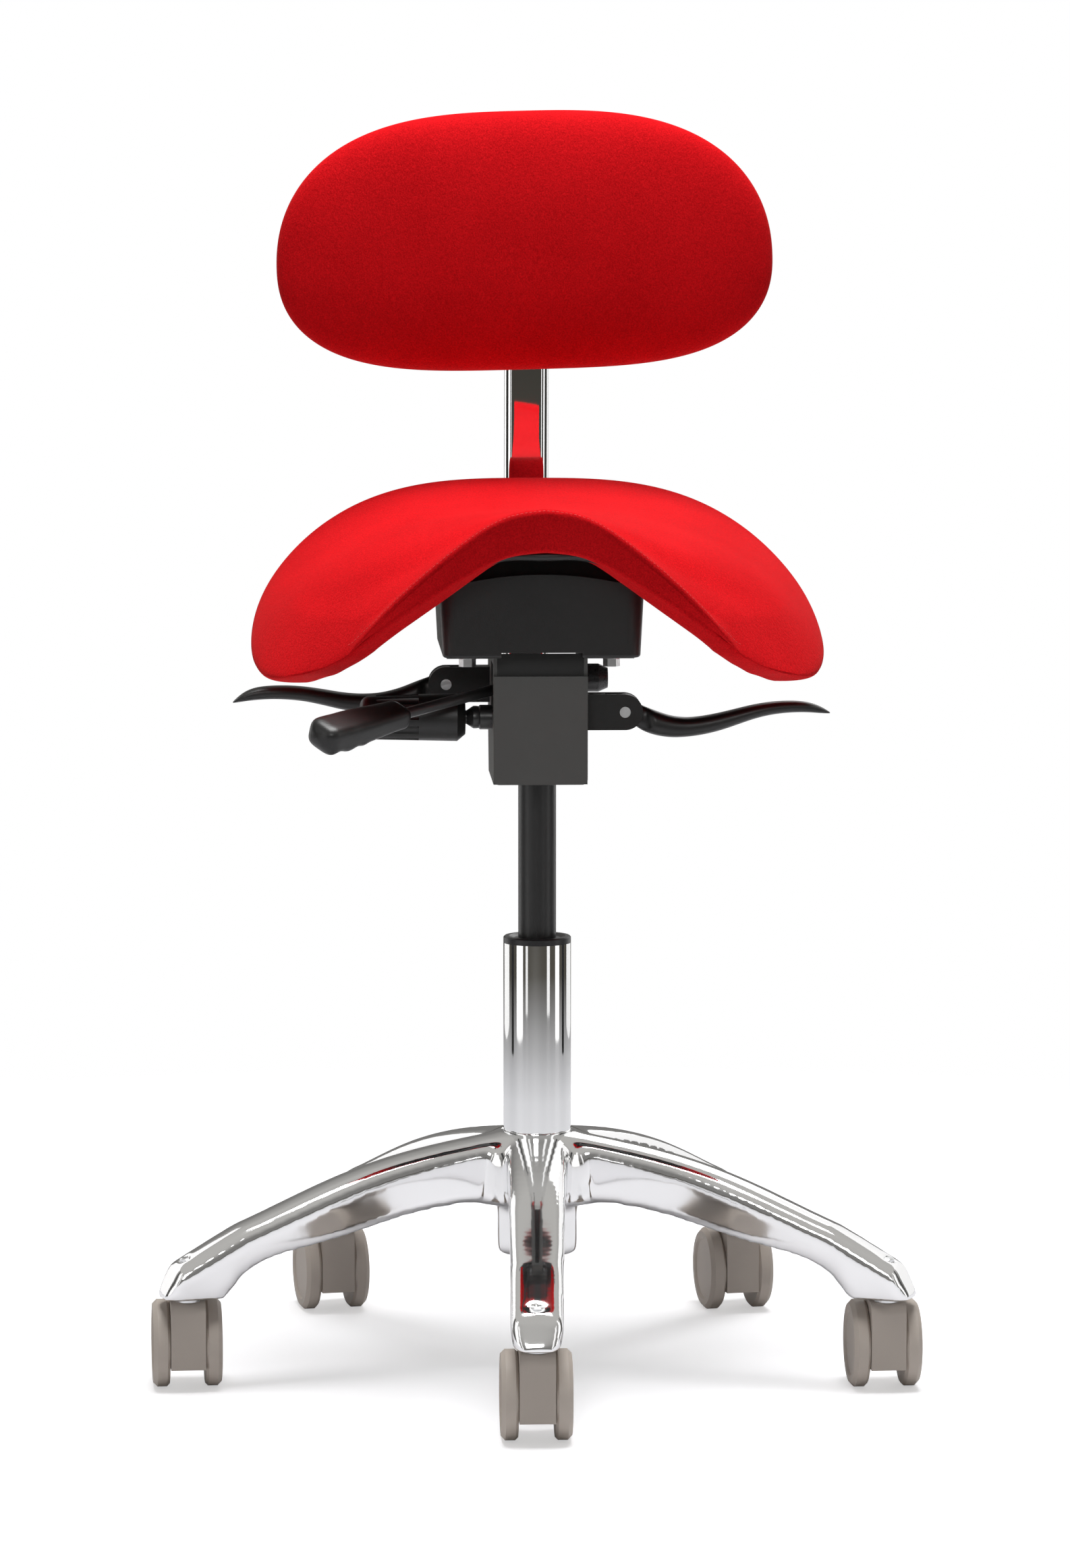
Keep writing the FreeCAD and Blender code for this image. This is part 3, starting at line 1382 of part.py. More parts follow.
def line(first, last, x):
    return Part.LineSegment(Vector(x, *first), Vector(x, *last)).toShape()


def cushion_section(x):
    """Closed wire of the cushion at one x: two long arcs over the top, a round rear edge."""
    seam, crest, widest, low_rear, under, low_front = cushion_points(x)
    middle_y = under[0]
    top = (middle_y, seat_top(x, middle_y))
    front_y = 0.5 * (seam[0] + middle_y)
    rear_y = 0.5 * (crest[0] + middle_y)
    reach = widest[0] - crest[0]
    bulge = (crest[0] + 0.72 * reach, widest[1] + 0.62 * (crest[1] - widest[1]))
    return Part.Wire(
        [
            arc(seam, (front_y, seat_top(x, front_y)), top, x),
            arc(top, (rear_y, seat_top(x, rear_y)), crest, x),
            arc(crest, bulge, widest, x),
            line(widest, low_rear, x),
            line(low_rear, under, x),
            line(under, low_front, x),
            line(low_front, seam, x),
        ]
    )


def mirrored(values):
    """Values from the negative side through the middle to the positive side."""
    return [-value for value in reversed(values)] + [0] + values


# Stations of the cushion as shares of its half width; the shell ends before the wing tips
SHELL_SHARES = [0.15, 0.32, 0.5, 0.66, 0.8]
WING_SHARES = [0.9, 0.96, 0.99]


def seat_pad():
    half = Z.seat_half_width.value
    stations = mirrored([half * share for share in SHELL_SHARES + WING_SHARES])
    shape = Part.makeLoft([cushion_section(x) for x in stations], True, False)
    thing = doc.addObject("Part::Feature", "seat_pad")
    thing.Shape = shape
    place(thing)
    keep(thing, "seat_pad")


def shell_line(x):
    """Front, middle and rear points of the shell's upper face at one x, in (y, z)."""
    gap, inset = Z.soft_gap.value, Z.shell_inset.value
    low_rear, under, low_front = cushion_points(x)[3:]
    front_rise = (under[1] - low_front[1]) * inset / (under[0] - low_front[0])
    rear_rise = (under[1] - low_rear[1]) * inset / (low_rear[0] - under[0])
    front = (low_front[0] + inset, low_front[1] + front_rise - gap)
    rear = (low_rear[0] - inset, low_rear[1] + rear_rise - gap)
    return front, (under[0], under[1] - gap), rear


def shell_height(x, y):
    """Height of the shell's middle surface at one place."""
    front, middle, rear = shell_line(x)
    end = front if y < middle[0] else rear
    share = (y - middle[0]) / (end[0] - middle[0])
    return middle[1] + share * (end[1] - middle[1]) - Z.shell_thick.value / 2


def polygon(points, x):
    """Closed wire through points in (y, z) at one x."""
    return Part.Wire([line(a, b, x) for a, b in zip(points, points[1:] + points[:1])])


def seat_shell():
    """Moulded shell that follows the cushion's underside, with a boss down to the seat plate."""
    thick = Z.shell_thick.value
    skin_sections = []
    for x in mirrored([Z.seat_half_width.value * share for share in SHELL_SHARES + WING_SHARES]):
        front, middle, rear = shell_line(x)
        lower = [(y - shift, z - thick) for (y, z), shift in ((rear, 3), (middle, 0), (front, -3))]
        skin_sections.append(polygon([front, middle, rear] + lower, x))
    reach = Z.seat_half_width.value * SHELL_SHARES[-1]
    length = Z.seat_half_length.value
    room = Part.makeBox(reach * 2, length * 2, length * 2, Vector(-reach, -length, Z.seat_wing_low.value))
    skin = Part.makeLoft(skin_sections, True, False).common(room)
    low = Z.housing_side_top.value + Z.plate_thick.value
    half = Z.shell_boss_half.value
    boss_sections = []
    for x in mirrored([half * 0.5, half]):
        upper = [(y, shell_height(x, y)) for y in (half, 0.0, -half)]
        boss_sections.append(polygon([(-half, low), (half, low)] + upper, x))
    lump = Part.makeLoft(boss_sections, True, True)
    thing = doc.addObject("Part::Feature", "seat_shell")
    thing.Shape = skin.fuse(lump).removeSplitter()
    place(thing)
    keep(thing, "seat_shell")


# Back: yoke and pin, bent bar, carriage with clamp knob, pad pin, shell and pad


def back_yoke():
    """Forged block on the back pivot that grips the foot of the bar."""
    body = new_body("back_yoke")
    half = Z.yoke_half
    height = Z.yoke_height / 2
    front = Z.yoke_y - 12
    end = Z.yoke_y + Z.yoke_length
    side = outline(
        body,
        "YZ",
        [
            (front, Z.yoke_z - 8),
            (front + 8, Z.yoke_z - height, 9),
            (end, Z.yoke_z - height + 3),
            (end, Z.yoke_z + height - 3),
            (front + 8, Z.yoke_z + height),
            (front, Z.yoke_z + 8, 9),
        ],
    )
    pad(body, side, half * 2, True)
    bore(body, Z.yoke_pin_radius + Z.fit, half * 2, -half, Z.yoke_y, Z.yoke_z, **ALONG_X)
    fit = Z.fit
    wide = Z.bar_width + fit * 2
    thick = Z.bar_thick + fit * 2
    flat = (wide - thick) / 2
    radius = thick / 2
    slot = body.newObject("PartDesign::Pocket", "BarSocket")
    slot.Profile = outline(
        body,
        "XZ",
        [
            (-flat, Z.yoke_z - radius, radius),
            (flat, Z.yoke_z - radius),
            (flat + radius, Z.yoke_z, radius),
            (flat, Z.yoke_z + radius, radius),
            (-flat, Z.yoke_z + radius),
            (-flat - radius, Z.yoke_z, radius),
        ],
        -end - 1,
    )
    slot.Reversed = True
    bind(slot, "Length", Z.yoke_length - 9)


def yoke_pin():
    length = Z.box_half * 2
    pin = cylinder("yoke_pin", Z.yoke_pin_radius, length, -Z.box_half, Z.yoke_y, Z.yoke_z, **ALONG_X)
    keep(pin, "yoke_pin")


def upright_direction():
    """Unit vector up the leaning upright."""
    lean = math.radians(Z.bar_lean.value)
    return Vector(0, -math.sin(lean), math.cos(lean))


def upright_foot():
    """Where the bend ends and the upright starts."""
    lean = math.radians(Z.bar_lean.value)
    y = Z.yoke_y + Z.bar_run + Z.bar_bend * math.cos(lean)
    z = Z.yoke_z + Z.bar_bend + Z.bar_bend * math.sin(lean)
    return y, z


def back_bar():
    """Flat-oval tube, bent once and leaning forward."""
    body = new_body("back_bar")
    flat = (Z.bar_width - Z.bar_thick) / 2
    radius = Z.bar_thick / 2
    start = Z.yoke_y + 10
    profile = outline(
        body,
        "XZ",
        [
            (-flat, Z.yoke_z - radius, radius),
            (flat, Z.yoke_z - radius),
            (flat + radius, Z.yoke_z, radius),
            (flat, Z.yoke_z + radius, radius),
            (-flat, Z.yoke_z + radius),
            (-flat - radius, Z.yoke_z, radius),
        ],
        -start,
    )
    foot_y, foot_z = upright_foot()
    up = upright_direction()
    path = body.newObject("Sketcher::SketchObject", "Route")
    path.AttachmentSupport = (origin(body, "YZ_Plane"), [""])
    path.MapMode = "FlatFace"
    bend_y = Z.yoke_y + Z.bar_run
    centre = Vector(bend_y.value, (Z.yoke_z + Z.bar_bend).value, 0)
    bend = Z.bar_bend.value
    half_turn = math.radians(-45 + Z.bar_lean.value / 2)
    middle = centre + Vector(bend * math.cos(half_turn), bend * math.sin(half_turn), 0)
    first = Vector(start.value, Z.yoke_z.value, 0)
    corner = Vector(bend_y.value, Z.yoke_z.value, 0)
    foot = Vector(foot_y.value, foot_z.value, 0)
    rise = Z.bar_rise.value
    top = foot + Vector(up.y * rise, up.z * rise, 0)
    path.addGeometry(Part.LineSegment(first, corner), False)
    path.addGeometry(Part.Arc(corner, middle, foot), False)
    path.addGeometry(Part.LineSegment(foot, top), False)
    path.addConstraint(Sketcher.Constraint("Coincident", 0, 2, 1, 1))
    path.addConstraint(Sketcher.Constraint("Coincident", 1, 2, 2, 1))
    places = [(0, 1, start, Z.yoke_z), (0, 2, bend_y, Z.yoke_z), (2, 1, foot_y, foot_z)]
    places.append((2, 2, foot_y + Z.bar_rise * up.y, foot_z + Z.bar_rise * up.z))
    for edge, end, y, z in places:
        for kind, value in (("DistanceX", y), ("DistanceY", z)):
            rule = Sketcher.Constraint(kind, -1, 1, edge, end, value.value)
            bind(path, "Constraints[%d]" % path.addConstraint(rule), value)
    rule = Sketcher.Constraint("Radius", 1, bend)
    bind(path, "Constraints[%d]" % path.addConstraint(rule), Z.bar_bend)
    doc.recompute()
    pipe = body.newObject("PartDesign::AdditivePipe", "Bar")
    pipe.Profile = profile
    pipe.Spine = (path, ["Edge1", "Edge2", "Edge3"])


def carriage_place():
    """Centre of the carriage on the upright, as sizes."""
    foot_y, foot_z = upright_foot()
    up = upright_direction()
    return foot_y + Z.carriage_centre * up.y, foot_z + Z.carriage_centre * up.z


def back_carriage():
    """Slider round the bar, with ears in front for the pad's pin and a boss behind for the clamp."""
    body = new_body("back_carriage")
    half = Z.carriage_half
    deep = Z.bar_thick / 2 + Z.carriage_wall
    high = Z.carriage_height
    side = outline(
        body,
        "XY",
        [
            (half - 6, -deep),
            (half, 6 - deep, 6),
            (half, deep - 6),
            (half - 6, deep, 6),
            (6 - half, deep),
            (-half, deep - 6, 6),
            (-half, 6 - deep),
            (6 - half, -deep, 6),
        ],
        -high / 2,
    )
    pad(body, side, high)
    boss(body, 14, 8, 0, deep - 1, 0, **ALONG_Y)
    for x in (-1, 1):
        start = x * Z.ear_x - Z.ear_thick / 2
        block(body, "Additive", Z.ear_thick, Z.pad_pin_offset + 1, 20, start, -deep - Z.pad_pin_offset, -10)
        boss(body, 10, Z.ear_thick, start, -deep - Z.pad_pin_offset, 0, **ALONG_X)
    flat = (Z.bar_width - Z.bar_thick) / 2
    radius = Z.bar_thick / 2 + Z.slide_fit
    slot = outline(
        body,
        "XY",
        [
            (-flat, -radius, radius),
            (flat, -radius),
            (flat + radius, 0, radius),
            (flat, radius, radius),
            (-flat, radius),
            (-flat - radius, 0, radius),
        ],
    )
    cut_through(body, slot)
    wide = Z.ear_x * 2 + Z.ear_thick * 2
    bore(body, Z.pad_pin_radius + Z.fit, wide, -wide / 2, -deep - Z.pad_pin_offset, 0, **ALONG_X)
    bore(body, Z.back_screw + Z.fit, deep + 8, 0, Z.bar_thick / 2, 0, **ALONG_Y)
    y, z = carriage_place()
    place(body, 0, y, z, (1, 0, 0), Z.bar_lean.value)


def pin_place():
    """Axis of the back pad's pin, as sizes."""
    y, z = carriage_place()
    lean = math.radians(Z.bar_lean.value)
    offset = Z.bar_thick / 2 + Z.carriage_wall + Z.pad_pin_offset
    return y - offset * math.cos(lean), z - offset * math.sin(lean)


def pad_pin():
    y, z = pin_place()
    half = Z.ear_x + Z.ear_thick / 2 + 3
    pin = cylinder("pad_pin", Z.pad_pin_radius, half * 2, -half, y, z, **ALONG_X)
    keep(pin, "pad_pin")


def back_knob():
    """Clamp knob with its screw, behind the carriage."""
    start = Z.bar_thick / 2 + Z.slide_fit * 2
    head = Z.bar_thick / 2 + Z.carriage_wall + 8 + 1
    body = new_body("back_knob")
    boss(body, Z.back_screw, head + Z.back_knob_length - start - 1, 0, 0, start)
    knob = outline(
        body,
        "XZ",
        [
            (0, start),
            (Z.back_screw, start),
            (Z.back_screw, head),
            (10, head),
            (12, head + 5),
            (Z.back_knob_radius, head + 7),
            (Z.back_knob_radius, head + Z.back_knob_length - 4),
            (Z.back_knob_radius - 4, head + Z.back_knob_length, 4),
            (0, head + Z.back_knob_length),
        ],
    )
    revolve(body, knob)
    lobe = bore(body, 7, Z.back_knob_length, Z.back_knob_radius + 4, 0, head + 4)
    circle_pattern(body, [lobe], as_size(6))
    y, z = carriage_place()
    place(body, 0, y, z)
    body.Placement.Rotation = Rotation(Vector(1, 0, 0), Z.bar_lean.value - 90)


def back_edges(x, inset=0.0):
    """Top and bottom of the back pad at one x: power curves that are fullest below the middle."""
    half = Z.back_half_width.value - inset
    share = min(1.0, abs(x) / half)
    widest = Z.back_widest.value
    top = widest + (Z.back_top.value - inset - widest) * (1 - share**2.9) ** (1 / 2.15)
    low = widest - (widest - Z.back_low.value - inset) * (1 - share**3.6) ** (1 / 2.3)
    return top, low


def back_pad():
    """Crowned pad: front bulge, rounded top and bottom, flat back."""
    half = Z.back_half_width.value
    front, thick = Z.back_front.value, Z.back_thick.value
    rear = front + thick
    sections = []
    for x in mirrored([half * share for share in (0.22, 0.45, 0.66, 0.82, 0.92, 0.97, 0.995)]):
        top, low = back_edges(x)
        share = abs(x) / half
        depth = thick - (thick - Z.back_edge_thick.value) * share**4
        tall = top - low
        soft = min(0.34 * tall, depth * 0.8)
        face = rear - depth
        middle = 0.5 * (top + low)
        belly = 5 * (1 - share**2)
        upper_face = (face + 4, top - soft)
        lower_face = (face + 4, low + soft)
        upper_back = (rear, top - 0.35 * soft)
        lower_back = (rear, low + 0.35 * soft)
        crown_top = (rear - 0.42 * depth, top)
        crown_low = (rear - 0.42 * depth, low)
        upper_bend = (face + 4 + 0.2 * (crown_top[0] - face - 4), top - 0.32 * soft)
        lower_bend = (upper_bend[0], low + 0.32 * soft)
        sections.append(
            Part.Wire(
                [
                    arc(upper_face, (face - belly + 4, middle), lower_face, x),
                    arc(lower_face, lower_bend, crown_low, x),
                    line(crown_low, lower_back, x),
                    line(lower_back, upper_back, x),
                    line(upper_back, crown_top, x),
                    arc(crown_top, upper_bend, upper_face, x),
                ]
            )
        )
    thing = doc.addObject("Part::Feature", "back_pad")
    thing.Shape = Part.makeLoft(sections, True, False)
    place(thing)
    keep(thing, "back_pad")


def back_shell():
    """Moulded shell behind the pad, with two ears on the pad's pin."""
    inset = Z.back_shell_inset.value
    half = Z.back_half_width.value - inset
    near = Z.back_front.value + Z.back_thick.value + Z.fit.value
    far = near + Z.back_shell_thick.value
    sections = []
    for x in mirrored([half * share for share in (0.25, 0.5, 0.72, 0.88, 0.97)]):
        top, low = back_edges(x, inset)
        sections.append(polygon([(near, low), (far, low + 4), (far, top - 4), (near, top)], x))
    shape = Part.makeLoft(sections, True, False)
    y, z = pin_place()
    inner = Z.ear_x.value - Z.ear_thick.value / 2 - 0.5 - Z.ear_thick.value
    for x in (-inner - Z.ear_thick.value, inner):
        thick = Z.ear_thick.value
        web = Part.makeBox(thick, y.value - far + 1, 18, Vector(x, far - 1, z.value - 9))
        eye = Part.makeCylinder(9, thick, Vector(x, y.value, z.value), Vector(1, 0, 0))
        shape = shape.fuse(web).fuse(eye)
    hole = Part.makeCylinder(
        Z.pad_pin_radius.value + Z.fit.value, 80, Vector(-40, y.value, z.value), Vector(1, 0, 0)
    )
    thing = doc.addObject("Part::Feature", "back_shell")
    thing.Shape = shape.cut(hole).removeSplitter()
    place(thing)
    keep(thing, "back_shell")


CASTER_TURNS = (0, 3, 10.5, 11, 3.5)

star_base()
for number in range(1, int(Z.arm_count.value) + 1):
    caster(number, CASTER_TURNS[(number - 1) % len(CASTER_TURNS)])
column()
mechanism_box()
taper_socket()
height_lever()
seat_bracket()
bracket_bolts()
tilt_axle()
lower_shaft()
tension_knob()
wing_lever("left_lever", -1, Z.left_lever_y)
wing_lever("right_lever", 1, Z.right_lever_y)
lever_mount("left_lever_mount", -1, Z.left_pin_x, Z.left_pin_z, Z.left_lever_y)
lever_mount("right_lever_mount", 1, Z.right_pin_x, Z.right_pin_z, Z.right_lever_y)
lever_pins()
housing()
seat_plate()
seat_pad()
seat_shell()
back_yoke()
yoke_pin()
back_bar()
back_carriage()
pad_pin()
back_knob()
back_pad()
back_shell()
doc.recompute()

faults = []
for item in doc.Objects:
    if "Invalid" in item.State or "Error" in item.State:
        holder = item.getParentGeoFeatureGroup()
        faults.append("%s in %s: %s" % (item.Name, holder.Label if holder else "document", item.State))
for item in PARTS:
    if item.Shape.isNull() or not item.Shape.isValid():
        faults.append("%s has no valid shape" % item.Label)
    elif not item.Shape.Solids:
        faults.append("%s has no solid" % item.Label)
if faults:
    raise SystemExit("\n".join(faults))

os.makedirs("parts", exist_ok=True)
for item in PARTS:
    item.Shape.exportStep("parts/%s.step" % item.Label)
print("wrote %d parts" % len(PARTS))
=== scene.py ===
# %% [markdown]
# # A saddle stool, dressed in Blender
#
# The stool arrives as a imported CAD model: star base, castors, gas column, tilt
# mechanism, levers and backrest arm are already solid and in their true places.
# This lesson adds what CAD leaves plain: the upholstery of the saddle and of the
# backrest, and a finish for every metal and plastic part. All lengths are metres.

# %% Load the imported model
import json
import math

import bmesh
import bpy
import numpy as np
from mathutils import Matrix, Vector

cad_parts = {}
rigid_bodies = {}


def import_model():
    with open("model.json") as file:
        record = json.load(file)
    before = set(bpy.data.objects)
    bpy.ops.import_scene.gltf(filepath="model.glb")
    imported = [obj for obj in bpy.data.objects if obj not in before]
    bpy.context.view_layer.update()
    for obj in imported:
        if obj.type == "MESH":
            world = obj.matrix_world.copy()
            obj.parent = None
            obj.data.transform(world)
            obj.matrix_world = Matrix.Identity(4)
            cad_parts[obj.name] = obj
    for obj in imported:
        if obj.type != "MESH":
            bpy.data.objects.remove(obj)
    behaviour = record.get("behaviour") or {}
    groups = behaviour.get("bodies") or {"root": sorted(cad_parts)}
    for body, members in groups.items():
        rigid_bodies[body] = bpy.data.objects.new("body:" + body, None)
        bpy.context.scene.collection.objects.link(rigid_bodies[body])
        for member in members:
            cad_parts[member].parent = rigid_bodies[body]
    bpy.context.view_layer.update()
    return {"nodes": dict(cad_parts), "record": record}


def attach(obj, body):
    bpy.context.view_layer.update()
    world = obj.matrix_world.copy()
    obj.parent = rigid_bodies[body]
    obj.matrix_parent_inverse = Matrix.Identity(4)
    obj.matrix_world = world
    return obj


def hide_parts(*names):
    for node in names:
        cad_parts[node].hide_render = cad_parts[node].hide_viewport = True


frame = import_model()

# %% [markdown]
# ## The camera
#
# The photograph was taken with a long lens at about the height of the backrest.
# The castor wheels and the seat's far edge give the distance, and the height
# at which level surfaces turn edge-on gives the height of the lens. A long lens
# far away keeps the near castor and the far ones almost the same size.

# %% Place the camera
CAMERA_DISTANCE = 4.262
CAMERA_HEIGHT = 0.874
CAMERA_TURN = math.radians(2.4)
CAMERA_LENS, SENSOR_WIDTH = 133.5, 36
AIM = Vector((-0.0016, 0.0, 0.4364))

bpy.context.scene.view_settings.view_transform = "Standard"
camera_data = bpy.data.cameras.new("camera")
camera_data.lens = CAMERA_LENS
camera_data.sensor_width = SENSOR_WIDTH
camera = bpy.data.objects.new("camera", camera_data)
bpy.context.collection.objects.link(camera)
camera.location = (
    -CAMERA_DISTANCE * math.sin(CAMERA_TURN),
    -CAMERA_DISTANCE * math.cos(CAMERA_TURN),
    CAMERA_HEIGHT,
)
camera.rotation_mode = "QUATERNION"
camera.rotation_quaternion = (AIM - camera.location).to_track_quat("-Z", "Y")
bpy.context.scene.camera = camera
print("camera at", [round(value, 3) for value in camera.location])

# %% [markdown]
# ## Shader maths in Python
#
# A material is a graph of nodes, and graphs are slow to read as node calls. This
# small class wraps one output socket, so that `1 - mask * 0.4` adds the Math nodes
# it describes. Any other node comes from `node`, which takes the node's type, its
# settings and what goes into its sockets.

# %% A socket that understands arithmetic
class Wire:
    """One output socket in a material's graph; arithmetic on it adds Math nodes."""

    def __init__(self, tree, socket):
        self.tree = tree
        self.socket = socket

    def node(self, kind, settings=None, inputs=None, out=0):
        """Adds a node of any kind: settings first, then the values or links of its sockets."""
        made = self.tree.nodes.new(kind)
        for name, value in (settings or {}).items():
            setattr(made, name, value)
        for name, value in (inputs or {}).items():
            if isinstance(value, Wire):
                self.tree.links.new(value.socket, made.inputs[name])
            else:
                made.inputs[name].default_value = value
        return Wire(self.tree, made.outputs[out])

    def maths(self, operation, first, second=0.0):
        return self.node("ShaderNodeMath", {"operation": operation}, {0: first, 1: second})

    def __add__(self, other):
        return self.maths("ADD", self, other)

    def __radd__(self, other):
        return self.maths("ADD", other, self)

    def __sub__(self, other):
        return self.maths("SUBTRACT", self, other)

    def __rsub__(self, other):
        return self.maths("SUBTRACT", other, self)

    def __mul__(self, other):
        return self.maths("MULTIPLY", self, other)

    def __rmul__(self, other):
        return self.maths("MULTIPLY", other, self)

    def clipped(self):
        """The same value, held between 0 and 1."""
        return self.node("ShaderNodeClamp", {}, {"Value": self})

    def scaled(self, factors):
        """A vector stretched by three factors, to make a pattern finer or longer on one axis."""
        return self.node(
            "ShaderNodeVectorMath", {"operation": "MULTIPLY"}, {0: self, 1: factors}
        )

    def noise(self, scale, detail=2.0, roughness=0.5):
        """Soft random values round 0.5, with features about one scale-th of a metre wide."""
        return self.node(
            "ShaderNodeTexNoise",
            {},
            {"Vector": self, "Scale": scale, "Detail": detail, "Roughness": roughness},
        )

    def blend(self, low, high):
        """A colour between two colours or colour wires, by this wire as the share."""
        return self.node(
            "ShaderNodeMix",
            {"data_type": "RGBA"},
            {"Factor": self, 6: low, 7: high},
            out=2,
        )

    def bump(self, height_metres, strength=1.0):
        """A normal tilted as if this value, 0 to 1, stood that many metres high."""
        return self.node(
            "ShaderNodeBump", {}, {"Height": self, "Distance": height_metres, "Strength": strength}
        )


def material(name, **sockets):
    """A new Principled material: returns it, its shader node and its Object coordinates."""
    made = bpy.data.materials.new(name)
    made.use_nodes = True
    tree = made.node_tree
    shader = tree.nodes["Principled BSDF"]
    for socket, value in sockets.items():
        shader.inputs[socket.replace("_", " ")].default_value = value
    coordinates = tree.nodes.new("ShaderNodeTexCoord")
    return made, shader, Wire(tree, coordinates.outputs["Object"])


def feed(shader, **wires):
    """Links wires to the shader's sockets by name."""
    for socket, wire in wires.items():
        wire.tree.links.new(wire.socket, shader.inputs[socket.replace("_", " ")])


# %% [markdown]
# ## The studio
#
# The photograph is a cut-out on white with the real shadows kept. A pale floor
# that looks plain white to the camera, but still takes shadows, does the same, and
# it fades out before a horizon could show. In the chrome tube the photograph
# mirrors a white sheet near the stool and a dim brown room beyond it. So mirror
# rays see the floor turn dark further out: the tube is white below and brown above.

# %% The floor
def surface_object(name, points, *faces, smooth=False):
    """A mesh object from an array of points and arrays of faces; smooth is one flag or many."""
    rows = [row for group in faces for row in group.tolist()]
    mesh = bpy.data.meshes.new(name)
    mesh.from_pydata(points.tolist(), [], rows)
    mesh.polygons.foreach_set("use_smooth", np.full(len(rows), smooth))
    mesh.update()
    made = bpy.data.objects.new(name, mesh)
    bpy.context.collection.objects.link(made)
    return made


def panel(name, centre, toward, width, height):
    """A flat rectangle that faces a point."""
    away = (Vector(toward) - Vector(centre)).normalized()
    turn = away.to_track_quat("Z", "Y")
    corners = [(-width, -height), (width, -height), (width, height), (-width, height)]
    points = [Vector(centre) + turn @ Vector((x / 2, y / 2, 0)) for x, y in corners]
    return surface_object(name, np.array(points), np.array([[0, 1, 2, 3]]))


FLOOR_SIZE, FLOOR_LIFT, FLOOR_NEAR, FLOOR_FAR = 16, 0.48, 0.75, 1.5
SHEET_NEAR, SHEET_FAR = 1.3, 2.2
floor = panel("floor", (0, 0, 0), (0, 0, 1), FLOOR_SIZE, FLOOR_SIZE)
floor_finish, floor_shader, floor_place = material(
    "floor_white", Roughness=0.7, Emission_Strength=1.0
)
floor.data.materials.append(floor_finish)
watched = floor_place.node("ShaderNodeLightPath", out="Is Camera Ray")
mirrored = floor_place.node("ShaderNodeLightPath", out="Is Glossy Ray")
far_out = floor_place.node(
    "ShaderNodeVectorMath", {"operation": "LENGTH"}, {0: floor_place}, out="Value"
)
beyond = ((far_out - FLOOR_NEAR) * (1 / (FLOOR_FAR - FLOOR_NEAR))).clipped()
dim = ((far_out - SHEET_NEAR) * (1 / (SHEET_FAR - SHEET_NEAR))).clipped()
room = (mirrored * dim).clipped()
feed(
    floor_shader,
    Base_Color=room.blend((0.86, 0.86, 0.885, 1), (0.07, 0.062, 0.045, 1)),
    Emission_Color=(watched * FLOOR_LIFT).blend((0, 0, 0, 1), (1, 1, 1, 1)),
    Alpha=1 - watched * beyond,
)
print("floor fades out between", FLOOR_NEAR, "and", FLOOR_FAR, "m")

# %% [markdown]
# The world is plain white to the camera, a soft grey to matt surfaces and darker
# still to mirrors. The broad light above does most of the modelling: the backrest
# is bright along its top and deep red below. The camera looks a little down, so
# an upright tube mirrors only what stands on the floor: six upright white boards
# draw the long stripes on it, and dark cards beside them give the stripes an edge.

# %% The world and the lights
ROOM_LEVEL, SOFT_LEVEL = 0.20, 0.07
CEILING_GAIN, CEILING_START, CEILING_SLOPE = 0.28, 0.25, 2.2

world = bpy.data.worlds.new("studio")
bpy.context.scene.world = world
world.use_nodes = True
world_tree = world.node_tree
background = world_tree.nodes["Background"]
rays = world_tree.nodes.new("ShaderNodeLightPath")
seen = Wire(world_tree, rays.outputs["Is Camera Ray"])
glossy = Wire(world_tree, rays.outputs["Is Glossy Ray"])
direction = Wire(world_tree, world_tree.nodes.new("ShaderNodeTexCoord").outputs["Generated"])
upward = direction.node("ShaderNodeSeparateXYZ", {}, {0: direction}, out="Z")
ceiling = ((upward - CEILING_START) * CEILING_SLOPE).clipped() * CEILING_GAIN
unseen = SOFT_LEVEL + glossy * (ROOM_LEVEL - SOFT_LEVEL + ceiling)
tint = seen.blend((1, 0.98, 0.94, 1), (1, 1, 1, 1))
world_tree.links.new((unseen * (1 - seen) + seen).socket, background.inputs["Strength"])
world_tree.links.new(tint.socket, background.inputs["Color"])


def lamp(name, centre, toward, width, height, power):
    """A rectangular soft light that faces a point."""
    light = bpy.data.lights.new(name, "AREA")
    light.shape = "RECTANGLE"
    light.size = width
    light.size_y = height
    light.energy = power
    made = bpy.data.objects.new(name, light)
    bpy.context.collection.objects.link(made)
    made.location = centre
    made.rotation_mode = "QUATERNION"
    made.rotation_quaternion = (Vector(toward) - Vector(centre)).to_track_quat("-Z", "Y")
    return made


gleam = lamp("front_gleam", (-0.5, -3.4, 1.7), (0, 0, 0.45), 1.3, 0.8, 20)
gleam.visible_diffuse = False
lamp("top_light", (0.05, -0.12, 2.9), (0, 0, 0.4), 1.7, 1.2, 86)
lamp("left_light", (-2.4, -1.6, 1.7), (0, 0, 0.5), 0.6, 1.8, 3.5)
lamp("right_light", (2.5, -1.2, 1.7), (0, 0, 0.5), 0.5, 1.8, 2.5)
lamp("back_light", (0.8, 2.6, 1.6), (0, 0, 0.4), 1.2, 1.2, 8)


def card(name, azimuth, distance, low, high, width, level, glow=0.0):
    """An upright board on the floor that only reflections see; azimuth 0 is behind the camera."""
    turn = math.radians(azimuth)
    centre = (distance * math.sin(turn), -distance * math.cos(turn), (low + high) / 2)
    board = panel(name, centre, (0, 0, centre[2]), width, high - low)
    board.visible_camera = False
    board.visible_shadow = False
    board.visible_diffuse = False
    finish, _, _ = material(
        name,
        Base_Color=(level, level, level, 1),
        Roughness=1.0,
        Emission_Color=(1, 0.99, 0.97, 1),
        Emission_Strength=glow,
    )
    board.data.materials.append(finish)


